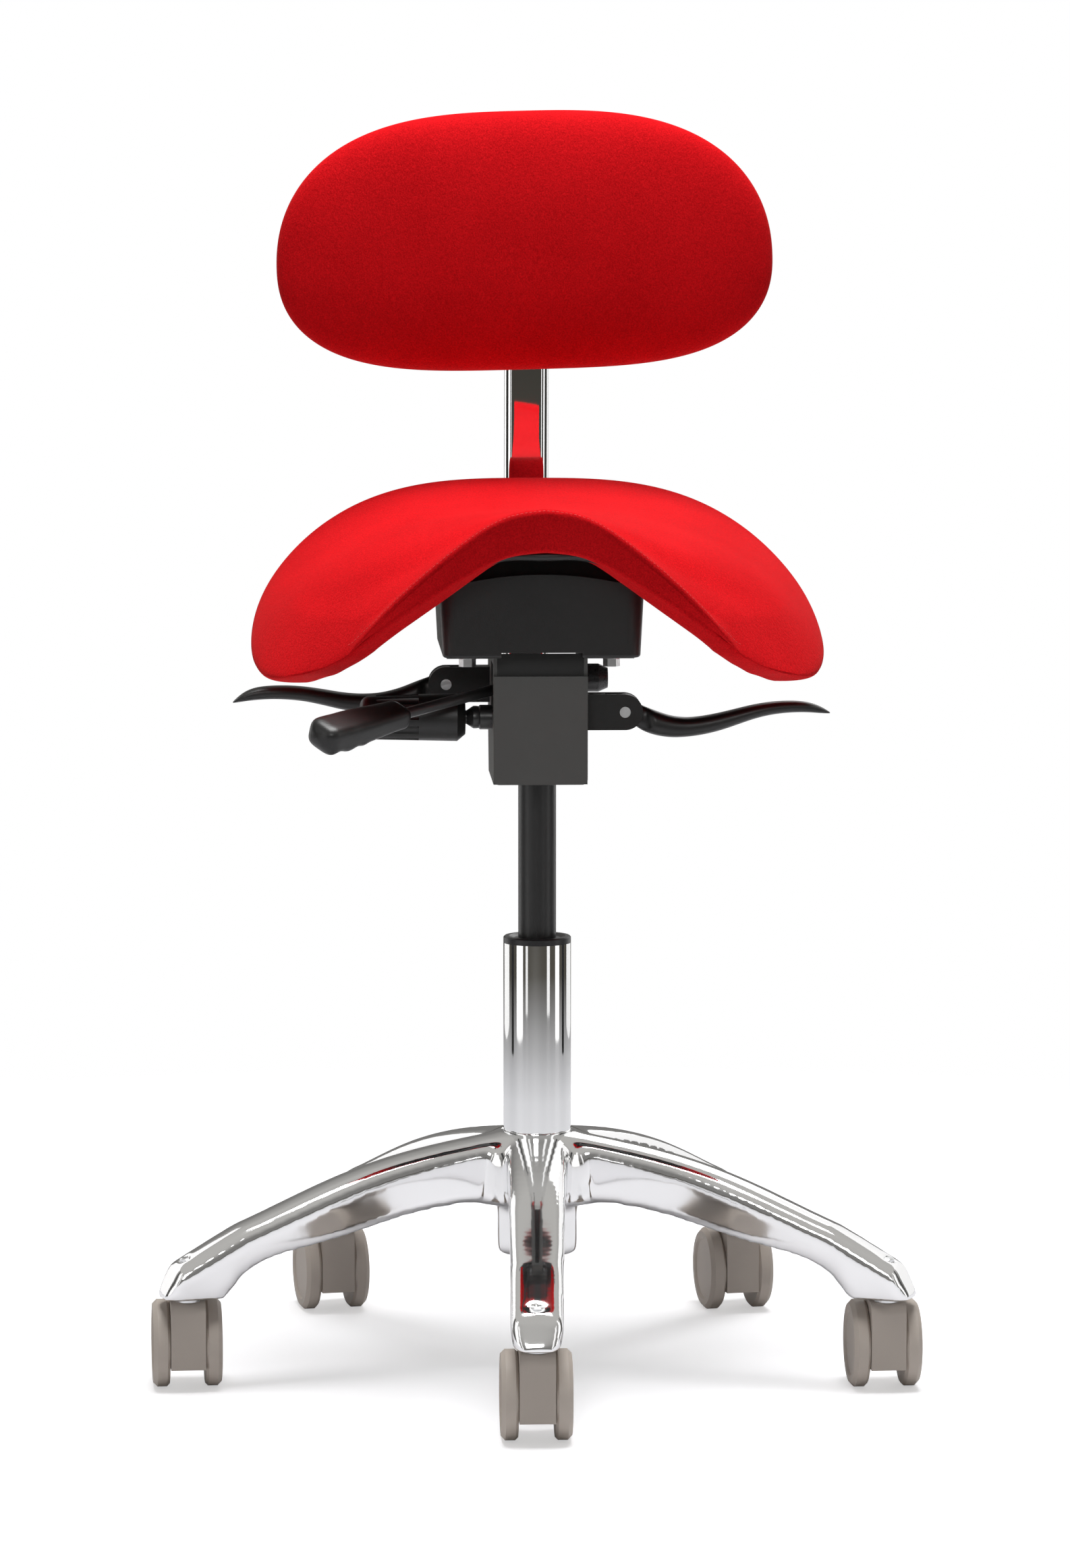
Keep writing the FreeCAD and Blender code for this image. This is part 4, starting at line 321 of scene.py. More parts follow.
card("left_far_board", -132, 1.7, 0.0, 1.3, 1.2, 0.5, 0.7)
card("right_far_board", 136, 1.7, 0.0, 1.3, 1.2, 0.5, 0.6)
card("left_board", -64, 1.7, 0.0, 1.3, 0.74, 0.5, 0.85)
card("left_strip", -38, 1.9, 0.0, 1.3, 0.26, 0.5, 0.6)
card("right_strip", 36, 1.9, 0.0, 1.3, 0.34, 0.5, 0.65)
card("right_board", 70, 1.7, 0.0, 1.3, 0.5, 0.5, 0.9)
card("left_dark_card", -94, 1.6, 0.0, 1.4, 0.3, 0.02)
card("right_dark_card", 96, 1.6, 0.0, 1.4, 0.3, 0.02)
lights = sum(item.type == "LIGHT" for item in bpy.data.objects)
boards = sum("board" in item.name or "strip" in item.name for item in bpy.data.objects)
print("lights", lights, "white boards", boards)

# %% [markdown]
# ## Polished aluminium and chrome
#
# The star base is cast aluminium, ground and buffed until it mirrors. Buffing
# leaves very fine waves and a faint haze, which a slow noise in the roughness
# and a shallow bump give. The column and the back bar are chrome on steel: they
# are harder, smoother and a little bluer.

# %% Metals
finishes = {}


def metal(name, colour, roughness, haze, wave, wave_scale):
    """Adds a bare metal: a haze drifts over it, and the buffing wheel has left low waves."""
    finishes[name], shader, place = material(name, Base_Color=(*colour, 1), Metallic=1.0)
    drift = place.noise(14, 3)
    feed(
        shader,
        Roughness=roughness + (drift - 0.5) * haze,
        Normal=place.noise(wave_scale, 1).bump(wave),
    )


metal("polished_aluminium", (0.90, 0.90, 0.905), 0.085, 0.05, 0.00025, 34)
metal("chrome", (0.88, 0.885, 0.89), 0.03, 0.02, 0.00004, 20)
metal("bright_steel", (0.82, 0.83, 0.84), 0.32, 0.12, 0.0002, 300)
print("metals", sorted(finishes))

# %% [markdown]
# ## Black and grey parts
#
# Several blacks meet in the mechanism and none is the same. The gas cylinder is
# satin lacquer over a drawn tube. The box is a dark powder coat, which keeps the
# pebbled skin of fused powder. The housing and the levers are moulded plastic
# with a fine grain. The castors are a warm grey plastic with a softer tread. A
# pebble is a noise bump less than a tenth of a millimetre high.

# %% Paints and plastics
def coating(name, colour, roughness, pebble, pebble_size, wear=0.15):
    """Adds a paint or plastic: grain as a bump, with colour and gloss that drift a little."""
    finishes[name], shader, place = material(name)
    drift = place.noise(9, 4, 0.6)
    grain = place.noise(1 / pebble_size, 2)
    darker = [channel * (1 - wear) for channel in colour]
    lighter = [channel * (1 + wear) for channel in colour]
    feed(
        shader,
        Base_Color=drift.blend((*darker, 1), (*lighter, 1)),
        Roughness=(roughness + (drift - 0.5) * 0.18 + (grain - 0.5) * 0.1).clipped(),
        Normal=grain.bump(pebble),
    )


coating("black_guide", (0.012, 0.012, 0.013), 0.35, 0.00005, 0.001)
coating("black_steel", (0.02, 0.02, 0.02), 0.36, 0.00002, 0.002)
coating("black_rod", (0.034, 0.034, 0.034), 0.3, 0.00003, 0.0015)
coating("dark_coat", (0.10, 0.10, 0.094), 0.45, 0.00008, 0.0012)
coating("black_plastic", (0.008, 0.0077, 0.0074), 0.40, 0.00006, 0.0009)
coating("taupe_plastic", (0.50, 0.44, 0.385), 0.5, 0.00005, 0.0009, 0.05)
coating("taupe_wheel", (0.55, 0.485, 0.425), 0.55, 0.00006, 0.0012, 0.05)
print("finishes", sorted(finishes))

# %% [markdown]
# ## Every CAD part gets its finish
#
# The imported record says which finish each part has. The meshes stay as CAD made
# them; only the material in their slots changes.

# %% Dress the CAD parts
dressed = 0
for entry in frame["record"]["subparts"]:
    part = frame["nodes"].get(entry["node"])
    finish = finishes.get(entry["material_slot"])
    if part is None or finish is None:
        print("not dressed here:", entry["node"], entry["material_slot"])
        continue
    part.data.materials.clear()
    part.data.materials.append(finish)
    dressed += 1
print("dressed", dressed, "of", len(frame["nodes"]), "CAD parts")

# %% [markdown]
# ## Rounding the casting
#
# A polished casting has no sharp edge: the mould has radii where the arms meet
# the hub, and buffing wears every outer corner. A fine voxel remesh of a copy of
# the CAD star gives even faces, and a short relaxation then rounds corners and
# fills inner ones. Near the bores its weight is zero, so the fits stay true.

# %% Relax a copy of the star
VOXEL, RELAX_STEPS, MERGE_DISTANCE = 0.0022, 16, 1e-5
ARM_END, ARM_COUNT, FIRST_ARM = 0.268, 5, -92.4
HUB_BORE, STEM_BORE, BORE_TOP = (0.0265, 0.030), (0.008, 0.011), (0.094, 0.099)


def smooth_step(value, low, high):
    """0 below low, 1 above high, and an S-curve between them."""
    share = np.clip((value - low) / (high - low), 0, 1)
    return share * share * (3 - 2 * share)


def merged_copy(node):
    """A copy of a CAD node's mesh with its doubled points merged; the node keeps its own mesh."""
    mesh = node.data.copy()
    merged = bmesh.new()
    merged.from_mesh(mesh)
    bmesh.ops.remove_doubles(merged, verts=merged.verts, dist=MERGE_DISTANCE)
    merged.to_mesh(mesh)
    merged.free()
    return mesh


def rows_of(items, field, width, kind=float):
    """One field of all points, edges or corners of a mesh, as an array of that many columns."""
    values = np.empty(len(items) * width, kind)
    items.foreach_get(field, values)
    return values.reshape(-1, width)


def remeshed(mesh, size):
    """Points, edges and faces of a mesh after a voxel remesh, which makes four-sided faces only."""
    rough = bpy.data.objects.new("rough", mesh)
    bpy.context.collection.objects.link(rough)
    grid = rough.modifiers.new("grid", "REMESH")
    grid.mode = "VOXEL"
    grid.voxel_size = size
    result = rough.evaluated_get(bpy.context.evaluated_depsgraph_get()).data
    points = rows_of(result.vertices, "co", 3)
    edges = rows_of(result.edges, "vertices", 2, int)
    faces = rows_of(result.loops, "vertex_index", 1, int).reshape(-1, 4)
    bpy.data.objects.remove(rough)
    return points, edges, faces


def relaxed(points, edges, weight, steps):
    """Moves every point half way to the mean of its neighbours, steps times, by its weight."""
    count = np.bincount(edges.ravel(), minlength=len(points))[:, None]
    for _ in range(steps):
        total = np.zeros_like(points)
        for axis in range(3):
            total[:, axis] = np.bincount(
                edges[:, 0], points[edges[:, 1], axis], len(points)
            ) + np.bincount(edges[:, 1], points[edges[:, 0], axis], len(points))
        points = points + 0.5 * weight[:, None] * (total / count - points)
    return points


star = merged_copy(frame["nodes"]["star_base"])
star_points, star_edges, star_faces = remeshed(star, VOXEL)
clear = smooth_step(np.hypot(star_points[:, 0], star_points[:, 1]), *HUB_BORE)
for arm in range(ARM_COUNT):
    turn = math.radians(FIRST_ARM + arm * 360 / ARM_COUNT)
    apart = star_points[:, :2] - ARM_END * np.array([math.cos(turn), math.sin(turn)])
    bore = 1 - smooth_step(np.hypot(*apart.T), *STEM_BORE)
    clear *= 1 - bore * (1 - smooth_step(star_points[:, 2], *BORE_TOP))
star_points = relaxed(star_points, star_edges, clear, RELAX_STEPS)
casting = surface_object("star_casting", star_points, star_faces, smooth=True)
casting.data.materials.append(finishes["polished_aluminium"])
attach(casting, "base")
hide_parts("star_base")
print("star casting faces", len(star_faces), "highest", round(float(star_points[:, 2].max()), 4))

# %% [markdown]
# ## Red microfibre
#
# The upholstery is a short-napped suede-like microfibre. Seen close it is a
# felt of fine hairs: the colour breaks up into tiny lighter and darker specks,
# the nap drifts in soft patches where it has been stroked, and light that
# grazes it comes back as a pale sheen.

# %% The fabric
def microfibre(name, light, dark, sheen):
    """Napped fabric: patches of stroked nap, fine specks and a bump of short hairs."""
    made, shader, place = material(
        name,
        Sheen_Weight=sheen,
        Sheen_Roughness=0.45,
        Sheen_Tint=(1.0, 0.16, 0.14, 1),
        Specular_IOR_Level=0.06,
    )
    patches = place.noise(16, 3, 0.55)
    specks = place.noise(900, 2, 0.7)
    hairs = place.scaled((1, 1, 0.45)).noise(520, 3, 0.65)
    tone = ((patches - 0.5) * 0.7 + (specks - 0.5) * 2.4 + 0.5).clipped()
    feed(
        shader,
        Base_Color=tone.blend(dark, light),
        Roughness=(0.86 + (specks - 0.5) * 0.2).clipped(),
        Normal=(hairs * 0.7 + specks * 0.3).bump(0.0009, 0.9),
    )
    return made


red_fabric = microfibre("red_fabric", (0.80, 0.007, 0.012, 1), (0.50, 0.001, 0.004, 1), 0.12)
print("red fabric has", len(red_fabric.node_tree.nodes), "nodes")

# %% [markdown]
# ## The saddle's shape
#
# A saddle seat is one moulded foam block under a tight cover: a narrow pommel at
# the front that the legs pass on either side, and a broad back part. It could be
# sculpted, or lofted from side sections, but both leave a star of creases at the
# wing tips. Here the surface is polar: one parameter goes round the outline, the
# other goes from the middle of the top over the rolled edge to the middle of the
# underside, so every wing tip is as smooth as the rest.

# %% Outline and top of the saddle
MM = 0.001
HALF_WIDTH, HALF_LENGTH, REAR_NARROWER = 210.0, 150.0, 0.03
FRONT_POWER, BACK_POWER = 2.5, 3.6
RIDGE, SHOULDER, SHELL_SHOULDER = 31.0, 22.0, 8.0
SEAT_LEVEL, POMMEL_RISE, CANTLE_RISE = 639, 7, 16
FRONT_SLOPE, WING_DROP, REAR_DROP = 0.815, 15, 66.8
FADE_START, FADE_LENGTH = -125, 60
BAND_HEIGHT, BAND_LEAST = 31, 4
SIDE_LEVEL = 512


def saddle_outline(angle):
    """Plan of the seat: a superellipse, squarer behind than in front, and a little narrower."""
    cosine, sine = np.cos(angle), np.sin(angle)
    power = np.where(sine < 0, FRONT_POWER, BACK_POWER)
    reach = (np.abs(cosine) ** power + np.abs(sine) ** power) ** (-1 / power)
    x, y = HALF_WIDTH * cosine * reach, HALF_LENGTH * sine * reach
    return x * (1 - REAR_NARROWER * smooth_step(y, 0, 110)), y


def saddle_height(x, y, shoulder=SHOULDER):
    """Height of the top before its edge is rolled.

    The middle line dips between pommel and cantle. Sideways the front is level
    on the ridge and then falls at an even slope, with a hyperbola as its shoulder
    and a fourth power for the wings. The rear falls as a cubic, and an exponential
    of y fades one into the other.
    """
    wide = np.abs(x)
    pommel = SEAT_LEVEL + POMMEL_RISE * (y / 140) ** 2
    cantle = SEAT_LEVEL + CANTLE_RISE * (np.maximum(y, 0) / 130) ** 1.6
    past = wide - RIDGE
    slope = 0.5 * (past + np.sqrt(past**2 + shoulder**2))
    crown = FRONT_SLOPE * 0.5 * (math.hypot(RIDGE, shoulder) - RIDGE)
    front = FRONT_SLOPE * slope + WING_DROP * (slope / 115) ** 4 - crown
    rear = REAR_DROP * (wide / HALF_WIDTH) ** 3
    share = np.exp(-np.maximum(0, y - FADE_START) / FADE_LENGTH)
    return np.where(y < 0, pommel, cantle) - share * front - (1 - share) * rear


def saddle_band(x):
    """Height of the fabric band under the front seam: widest in the middle, narrow at the wings."""
    return np.maximum(BAND_LEAST, BAND_HEIGHT * (1 - (np.abs(x) / 150) ** 1.9))


def saddle_low(x, y, top):
    """Lower edge: a band of falling height under the front seam, then a line that rises behind."""
    along = np.maximum(0, y + 85)
    side = SIDE_LEVEL + 0.16 * along + 0.00105 * along**2
    share = smooth_step(y, -100, -55)
    return (1 - share) * (top - saddle_band(x)) + share * side


print("saddle", SEAT_LEVEL, "mm high, its side", round(float(saddle_height(HALF_WIDTH, 0.0)), 1))

# %% [markdown]
# ## Rolling the edge
#
# The edge of the cover is not the same all round. In front it turns down in a
# tight roll to a sewn seam, and a narrow band closes the foam below it. At the
# wings it is a round nose, and behind it is a generous roll. So the size of the
# roll is itself a smooth function of the angle round the seat.

# %% The whole cushion as one closed surface
ROUND, TOP_RINGS = 560, 80
FASCIA_RECESS, SEAM_GROOVE, CUSHION_DEPTH = 5.0, 1.3, 33.5
FRONT_ROLL, WING_ROLL, BACK_ROLL = 5, 23, 22
VALLEY_DEPTH, LIP_HEIGHT, GATHER_HEIGHT = 4.0, 1.2, 0.35


def closed_disc(rings):
    """Points, quads and end triangles of a surface that runs from ring to ring and closes in one
    point at each end. They face outwards where each ring turns clockwise, seen from the last one.
    """
    count, around = rings.shape[:2]
    points = np.concatenate([rings.reshape(-1, 3), rings[:1].mean(1), rings[-1:].mean(1)])
    row = np.arange(count - 1)[:, None] * around
    step = np.arange(around)
    after = (step + 1) % around
    quads = np.stack([row + step, row + around + step, row + around + after, row + after], -1)
    base = (count - 1) * around
    first = np.stack([np.full(around, count * around), step, after], 1)
    last = np.stack([np.full(around, count * around + 1), base + after, base + step], 1)
    return points, quads.reshape(-1, 4), np.concatenate([first, last])


def bend(start, corner, stop, count, pull=0.62):
    """Cubic Bezier rows from start to stop that leave and arrive along the lines to the corner."""
    t = np.linspace(0, 1, count + 1)[1:, None]
    first = start + pull * (corner - start)
    second = stop + pull * (corner - stop)
    near = (1 - t) ** 3 * start + 3 * t * (1 - t) ** 2 * first
    return near + 3 * t**2 * (1 - t) * second + t**3 * stop


def saddle_rings():
    """Rings of the cushion, in millimetres: top rings scaled from the outline, a Bezier roll over
    the edge, the side face, a second roll inward below, and rings to the middle of the underside.
    A valley and a lip run along the front edge, and short waves gather the cover at the pommel.
    """
    angle = np.linspace(0, 2 * np.pi, ROUND, endpoint=False)
    edge_x, edge_y = saddle_outline(angle)
    far = np.hypot(edge_x, edge_y)
    wing = smooth_step(np.abs(edge_x), 95, 195) * (1 - smooth_step(edge_y, -10, 90))
    behind = smooth_step(edge_y, -40, 120)
    front = smooth_step(-edge_y, 60, 110) * (1 - smooth_step(np.abs(edge_x), 105, 175))
    roll = (FRONT_ROLL + WING_ROLL * wing) * (1 - behind) + BACK_ROLL * behind
    top_edge = saddle_height(edge_x, edge_y)
    low_edge = saddle_low(edge_x, edge_y, top_edge)
    tall = np.maximum(top_edge - low_edge, 6)
    drop = np.minimum(roll * 0.85, tall * (0.42 + 0.2 * behind)) * (1 - front) + 4.2 * front
    tuck = tall * (0.34 - 0.06 * behind + 0.2 * wing) * (1 - front) + 3.5 * front
    inward = (11 + 17 * wing) * (1 - front) + 4 * front

    share = np.linspace(0.004, 1, TOP_RINGS)[:, None] ** 0.8
    inner = 1 - roll / far
    x = share * inner * edge_x
    y = share * inner * edge_y
    inside = (1 - share * inner) * far
    sides = smooth_step(np.abs(x), 8, 60) * (1 - smooth_step(np.abs(x), 165, 200))
    valley = -VALLEY_DEPTH * np.exp(-(((inside - 42) / 17) ** 2)) * smooth_step(-y, 20, 90) * sides
    lip = LIP_HEIGHT * np.exp(-(((inside - 12) / 8) ** 2)) * smooth_step(-y, 60, 110)
    waves = np.sin(edge_x * 0.9 + 2.2 * np.sin(edge_x * 0.31)) * np.exp(-np.abs(edge_x) / 45)
    pucker = waves * np.exp(-(((inside - 8) / 5) ** 2)) * smooth_step(-y, 90, 120)
    z = saddle_height(x, y) + valley + lip + GATHER_HEIGHT * pucker
    rim = z[-1]
    rings = [np.stack([x, y, z], -1)]

    one = np.ones_like(edge_x)
    out = bend(inner, one, one, 16)
    fall = bend(rim, top_edge + lip[-1] * 0.5, top_edge - drop, 16)
    rings.append(np.stack([out * edge_x, out * edge_y, fall], -1))

    face = np.linspace(0, 1, 18)[1:-1, None]
    start, stop = top_edge - drop, low_edge + tuck
    groove = SEAM_GROOVE * np.exp(-((face * (start - stop) / 1.1) ** 2)) * front
    recess = FASCIA_RECESS * face * front
    out = 1 - (groove + recess) / far
    rings.append(np.stack([out * edge_x, out * edge_y, start + (stop - start) * face], -1))

    last = 1 - FASCIA_RECESS * front / far
    end = last - inward / far
    out = bend(last, last, end, 12)
    fall = bend(stop, low_edge, low_edge, 12)
    rings.append(np.stack([out * edge_x, out * edge_y, fall], -1))

    share = np.linspace(1, 0.02, 30)[1:, None]
    x, y = share * end * edge_x, share * end * edge_y
    close = share**7
    inner_top = saddle_height(x, y, SHELL_SHOULDER) - CUSHION_DEPTH
    rings.append(np.stack([x, y, low_edge * close + (1 - close) * inner_top], -1))
    return np.concatenate(rings)


cushion_rings = saddle_rings()
cushion, *cushion_faces = closed_disc(cushion_rings)
saddle = surface_object("saddle_cushion", cushion * MM, *cushion_faces, smooth=True)
saddle.data.materials.append(red_fabric)
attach(saddle, "seat")
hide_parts("seat_pad")
print("saddle cushion faces", len(saddle.data.polygons))

# %% [markdown]
# The moulded shell under the cushion ends higher at the wings than CAD draws it,
# so that the fabric hides its edge as in the photograph. A copy of the CAD shell
# is merged, and what hangs under the cushion's front edge line is lifted.

# %% Lift the shell's edge at the wings
LIFT_START, LIFT_FULL, LIFT_BACK, TUCKED = 88, 108, 40, 3.0

shell_mesh = merged_copy(frame["nodes"]["seat_shell"])
points = rows_of(shell_mesh.vertices, "co", 3) / MM
wide = np.clip(np.abs(points[:, 0]), 0, 200)
front_edge = -HALF_LENGTH * (1 - (wide / HALF_WIDTH) ** FRONT_POWER) ** (1 / FRONT_POWER)
limit = saddle_height(wide, front_edge) - saddle_band(wide) + TUCKED
gain = smooth_step(wide, LIFT_START, LIFT_FULL) * (points[:, 1] < LIFT_BACK)
lift = gain * (np.maximum(points[:, 2], limit) - points[:, 2])
points[:, 2] += lift
shell_mesh.vertices.foreach_set("co", (points * MM).ravel())
shell = bpy.data.objects.new("shell_under_cushion", shell_mesh)
bpy.context.collection.objects.link(shell)
shell.data.materials.clear()
shell.data.materials.append(finishes["black_plastic"])
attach(shell, "seat")
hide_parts("seat_shell")
print("shell lifted by at most", round(float(lift.max()), 2), "mm")

# %% [markdown]
# ## Stitches
#
# The cover's front seam is sewn, and the thread shows as a row of short stitches
# in a lighter red just above it. Each stitch is a small capsule laid along the
# surface, a little sunk in the nap. One mesh holds the whole row.

# %% Lay the row of stitches on the roll
STITCH_PITCH, STITCH_LONG, STITCH_THICK = 3.2, 1.05, 0.26
STITCH_ROW, SEAM_BACK, SEAM_HALF = TOP_RINGS + 7, -60, 141
FIRST_STITCH, LOOK_AHEAD = 1.6, 0.8


def capsules(centres, along, long, thick):
    """Points, quads and end triangles of many short rods with round ends: one capsule along its
    own axis, turned to the direction of each place and set there, all in one array."""
    lift = np.linspace(-np.pi / 2, np.pi / 2, 9)[1:-1, None]
    turn = np.linspace(0, 2 * np.pi, 8, endpoint=False)
    axis = long * np.sin(lift) * np.ones_like(turn)
    girth = thick * np.cos(lift)
    rings = np.stack([axis, girth * np.cos(turn), girth * np.sin(turn)], -1)
    points, quads, ends = closed_disc(rings)
    points[-2:, 0] = -long, long
    forward = along / np.linalg.norm(along, axis=1)[:, None]
    across = np.cross(forward, [0.0, 0.0, 1.0])
    across /= np.linalg.norm(across, axis=1)[:, None]
    turned = points @ np.stack([forward, across, np.cross(across, forward)], 1)
    base = np.arange(len(centres))[:, None, None] * len(points)
    every = (centres[:, None] + turned).reshape(-1, 3)
    return every, (quads + base).reshape(-1, 4), (ends + base).reshape(-1, 3)


row = cushion_rings[STITCH_ROW]
seam = row[(row[:, 1] < SEAM_BACK) & (np.abs(row[:, 0]) < SEAM_HALF)]
seam = seam[np.argsort(seam[:, 0])]
length = np.concatenate([[0], np.cumsum(np.linalg.norm(np.diff(seam, axis=0), axis=1))])
place = np.arange(FIRST_STITCH, length[-1], STITCH_PITCH)
centres = np.stack([np.interp(place, length, seam[:, axis]) for axis in range(3)], 1)
ahead = np.stack([np.interp(place + LOOK_AHEAD, length, seam[:, axis]) for axis in range(3)], 1)
thread, thread_shader, thread_place = material("thread", Roughness=0.7)
feed(
    thread_shader,
    Base_Color=thread_place.noise(500).blend((0.72, 0.02, 0.03, 1), (0.9, 0.10, 0.09, 1)),
)
rods, *rod_faces = capsules(centres, ahead - centres, STITCH_LONG, STITCH_THICK)
stitches = surface_object("front_stitches", rods * MM, *rod_faces, smooth=True)
stitches.data.materials.append(thread)
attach(stitches, "seat")
print("stitches", len(centres))

# %% [markdown]
# ## Moulded levers
#
# The wing levers and the grip of the height lever are injection mouldings with
# a soft oval section, which draws the long highlight on their upper side. A
# sweep makes them: each station along the lever holds its distance from the pin,
# the middle height and the half height of the section, and a superellipse gives
# the section its form. Each lever keeps a flat round eye between the cheeks of
# its mount.

# %% Sweep the wing levers
EYE_OUTER, EYE_INNER, EYE_HALF, EYE_EDGE = 12.7, 4.3, 6.4, 0.8
BLADE_POWER, GRIP_POWER = 2.4, 3.6


def swept(u, middle, tall, deep, power):
    """Closed surface along X: superellipse sections of half height tall and half depth deep."""
    turn = np.linspace(0, 2 * np.pi, 48, endpoint=False)
    cosine, sine = np.cos(turn), np.sin(turn)
    flat = np.sign(cosine) * np.abs(cosine) ** (2 / power)
    rise = np.sign(sine) * np.abs(sine) ** (2 / power)
    u, middle, tall, deep = (values[:, None] for values in (u, middle, tall, deep))
    return closed_disc(np.stack([u * np.ones_like(turn), -deep * flat, middle + tall * rise], -1))


def eye_ring(outer, inner, half, edge):
    """Closed flat ring about the Y axis: outer wall, one face, inner wall, other face."""
    turn = np.linspace(0, 2 * np.pi, 64, endpoint=False)
    profile = np.array([
        (outer, edge - half), (outer, half - edge), (outer - edge, half),
        (inner, half), (inner, -half), (outer - edge, -half),
    ])
    radius, level = profile[:, :1], profile[:, 1:]
    rows = np.stack([radius * np.cos(turn), level * np.ones_like(turn), radius * np.sin(turn)], -1)
    count, around = rows.shape[:2]
    ring, step = np.meshgrid(np.arange(count) * around, np.arange(around), indexing="ij")
    after, following = (step + 1) % around, (ring + around) % (count * around)
    faces = np.stack([ring + step, following + step, following + after, ring + after], -1)
    return rows.reshape(-1, 3), faces.reshape(-1, 4)


RIGHT_STATIONS = np.array([
    (7, -1.5, 8.5), (10, -4.0, 9.4), (22, -8.6, 9.1), (34, -11.6, 7.9), (46, -12.0, 7.0),
    (58, -10.5, 6.8), (70, -7.9, 6.5), (82, -4.4, 5.9), (94, -0.8, 5.2), (106, 1.7, 4.7),
    (118, 2.9, 4.4), (129, 3.0, 4.1), (136, 2.3, 3.6), (142, 1.1, 2.9), (147, -0.4, 1.9),
    (150.5, -1.7, 0.5),
])
LEFT_STATIONS = np.array([
    (7, -1.5, 8.5), (10, -3.2, 9.3), (22, -7.0, 8.7), (34, -11.0, 7.7), (48, -13.9, 7.1),
    (62, -14.4, 6.8), (76, -12.9, 6.4), (90, -9.9, 5.9), (104, -7.3, 5.4), (116, -6.2, 5.2),
    (128, -6.0, 5.0), (139, -6.7, 4.8), (146, -8.0, 4.2), (151, -9.8, 3.2), (155, -11.6, 2.0),
    (157.5, -13.4, 0.5),
])


def smooth_stations(stations, count):
    """Stations as a smooth curve: linear steps, then a running mean that keeps the ends."""
    u = np.linspace(stations[0, 0], stations[-1, 0], count)
    rows = [np.interp(u, stations[:, 0], stations[:, column]) for column in (1, 2)]
    for _ in range(14):
        for values in rows:
            values[1:-1] = (values[:-2] + 2 * values[1:-1] + values[2:]) / 4
    return u, rows[0], rows[1]


def wing_lever(name, stations, side, pin, body):
    """A swept blade and its eye as one mesh, placed at its pin and turned to its side."""
    u, middle, tall = smooth_stations(stations, 90)
    end = stations[-1, 0]
    deep = 6.4 + 4.2 * smooth_step(u, 14.4, 22) - 3.5 * smooth_step(u, 90, end)
    deep *= np.clip((end + 0.3 - u) / 7, 0, 1) ** 0.5
    blade, quads, ends = swept(u, middle, tall, deep, BLADE_POWER)
    eye, eye_quads = eye_ring(EYE_OUTER, EYE_INNER, EYE_HALF, EYE_EDGE)
    points = np.concatenate([blade, eye]) * (side, side, 1) + pin
    smooth = np.arange(len(quads) + len(ends) + len(eye_quads)) < len(quads) + len(ends)
    made = surface_object(name, points * MM, quads, ends, eye_quads + len(blade), smooth=smooth)
    made.data.materials.append(finishes["black_plastic"])
    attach(made, body)
    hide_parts(body)
    return made


right = wing_lever("right_wing", RIGHT_STATIONS, 1, (62.5, -32, 493), "right_lever")
left = wing_lever("left_wing", LEFT_STATIONS, -1, (-66.4, 35, 508), "left_lever")
print("wing levers", len(right.data.polygons), len(left.data.polygons), "faces")

# %% [markdown]
# The grip is the same sweep with a boxier section: a flat top for the palm and
# two hollows underneath for the fingers.

# %% Sweep the grip of the height lever
GRIP_START, GRIP_LENGTH, GRIP_ROLL = 116.0, 86.0, math.radians(24)
LEVER_TURN, LEVER_FALL = math.radians(42.7), math.radians(7.5)
LEVER_TAIL, LEVER_PIVOT = 21.0, 512.0

u = np.linspace(0, 1, 110)
round_ends = (1 - np.abs(np.clip((u - 0.09) / 0.09, -1, 0)) ** 2.4) ** (1 / 2.4)
round_ends *= (1 - np.clip((u - 0.87) / 0.13, 0, 1) ** 2.6) ** (1 / 2.6)
round_ends = np.maximum(round_ends, 0.02)
hollows = 1.5 * (1 + np.cos(2 * np.pi * (u - 0.93) / 0.2)) * smooth_step(u, 0.48, 0.6)
above = (9.0 + 1.2 * smooth_step(u, 0.1, 0.6)) * round_ends
below = (7.0 + 3.5 * smooth_step(u, 0.0, 0.75) + 0.6 * hollows) * round_ends
wide = (11.5 + 2.5 * smooth_step(u, 0.05, 0.7)) * round_ends
sections = (-GRIP_START - GRIP_LENGTH * u, (above - below) / 2, (above + below) / 2, wide)
points, *grip_faces = swept(*(values[::-1] for values in sections), GRIP_POWER)
fall = Matrix.Rotation(LEVER_TURN, 3, "Z") @ Matrix.Rotation(-LEVER_FALL, 3, "Y")
turned = np.array(fall @ Matrix.Rotation(GRIP_ROLL, 3, "X"))
tail = (-LEVER_TAIL * math.cos(LEVER_TURN), -LEVER_TAIL * math.sin(LEVER_TURN), LEVER_PIVOT)
points = points @ turned.T + tail
grip = surface_object("lever_grip", points * MM, *grip_faces, smooth=True)
grip.data.materials.append(finishes["black_plastic"])
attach(grip, "height_lever")
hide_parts("height_lever_grip")
print("grip from", np.round(points.min(0), 1), "to", np.round(points.max(0), 1))
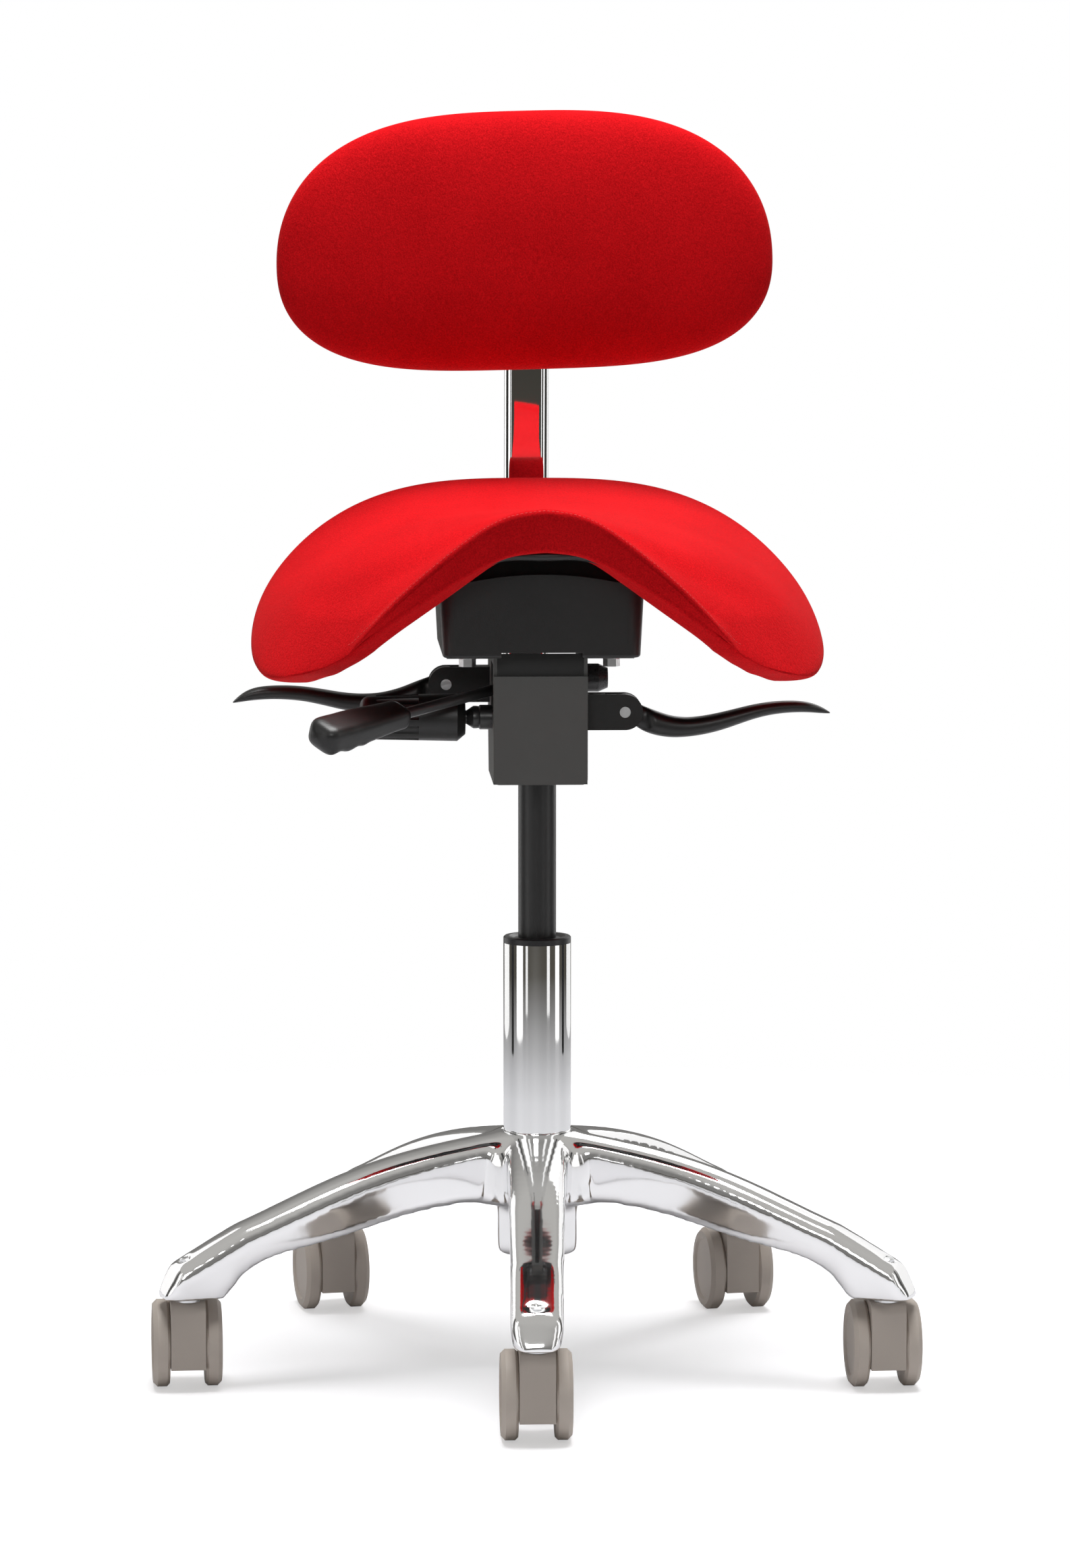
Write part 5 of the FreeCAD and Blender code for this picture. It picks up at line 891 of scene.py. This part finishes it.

# %% [markdown]
# Between the bracket's front plate and the housing lies an open slot, and its inside is in shade.
# A thin black plate closes that slot just behind the front plate: painted shade for that dark
# inside.

# %% Close the slot over the front plate
SHADE_PLATE_HALF, SHADE_PLATE_LOW, SHADE_PLATE_HIGH, SHADE_PLATE_FRONT, SHADE_PLATE_BACK = 31.5, 518.0, 537.4, -59.05, -57.9
corners = np.array([
    (x, y, z)
    for x in (-SHADE_PLATE_HALF, SHADE_PLATE_HALF) for y in (SHADE_PLATE_FRONT, SHADE_PLATE_BACK) for z in (SHADE_PLATE_LOW, SHADE_PLATE_HIGH)
])
sides = np.array([
    (0, 1, 3, 2), (4, 6, 7, 5), (0, 4, 5, 1), (2, 3, 7, 6), (0, 2, 6, 4), (1, 5, 7, 3),
])
# A thin black plate as painted shade, standing in for the shaded inside of the open slot.
shade_plate = surface_object("slot_shade_plate", corners * MM, sides)
shade_plate.data.materials.append(finishes["black_plastic"])
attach(shade_plate, "seat")
print("slot web", SHADE_PLATE_HALF * 2, "mm wide")

# %% [markdown]
# ## The backrest pad
#
# The small backrest is an oval pad, a little flatter on top and fuller below,
# with a tight cover that shows no seam from the front. It hangs a degree and a
# half off level on its pin. The same polar surface does it: a deep crowned
# front and a shallow back that meets the plastic shell.

# %% The pad as one closed surface
PAD_MIDDLE = np.array([-3.6, 0.0, 817.5])
PAD_ROLL = math.radians(1.5)
PAD_HALF, PAD_ABOVE, PAD_BELOW = 187, 113.6, 80.5
PAD_BACK, PAD_EDGE, PAD_CROWN = 143.0, 8, 30


def pad_outline(angle):
    """The oval seen from the front: power 2.15 to 2.9 above, power 2.3 to 3.6 below."""
    wide = PAD_HALF * np.cos(angle)
    share = np.abs(np.cos(angle))
    above = PAD_ABOVE * (1 - share**2.9) ** (1 / 2.15)
    below = -PAD_BELOW * (1 - share**3.6) ** (1 / 2.3)
    return wide, np.where(np.sin(angle) >= 0, above, below)


def pad_rings():
    """Rings from the middle of the front, over a deep crown and a quarter round, to mid back."""
    even = np.linspace(0, 2 * np.pi, 4001)
    wide, tall = pad_outline(even)
    path = np.concatenate([[0], np.cumsum(np.hypot(np.diff(wide), np.diff(tall)))])
    along = np.linspace(0, path[-1], 360, endpoint=False)
    x, z = np.interp(along, path, wide), np.interp(along, path, tall)
    turn = np.linspace(0.01, np.pi / 2, 56)[:, None]
    reach = np.sin(turn) ** 0.92
    depth = PAD_CROWN * np.cos(turn) ** 0.86
    rings = [np.stack([reach * x, (PAD_BACK - PAD_EDGE - depth) * np.ones_like(x), reach * z], -1)]
    turn = np.linspace(0, np.pi / 2, 14)[1:, None]
    inner = 1 - 7 * (1 - np.cos(turn)) / np.hypot(x, z)
    level = (PAD_BACK - PAD_EDGE + PAD_EDGE * np.sin(turn)) * np.ones_like(x)
    rings.append(np.stack([inner * x, level, inner * z], -1))
    share = np.linspace(1, 0.02, 16)[1:, None]
    level = PAD_BACK * np.ones_like(x) * np.ones_like(share)
    rings.append(np.stack([share * inner[-1] * x, level, share * inner[-1] * z], -1))
    turned = np.array(Matrix.Rotation(-PAD_ROLL, 3, "Y"))
    return np.concatenate(rings) @ turned.T + PAD_MIDDLE


pad_points, *pad_faces = closed_disc(pad_rings())
pad = surface_object("back_cushion", pad_points * MM, *pad_faces, smooth=True)
pad.data.materials.append(red_fabric)
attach(pad, "backrest")
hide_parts("back_pad")
print("back cushion faces", len(pad.data.polygons))
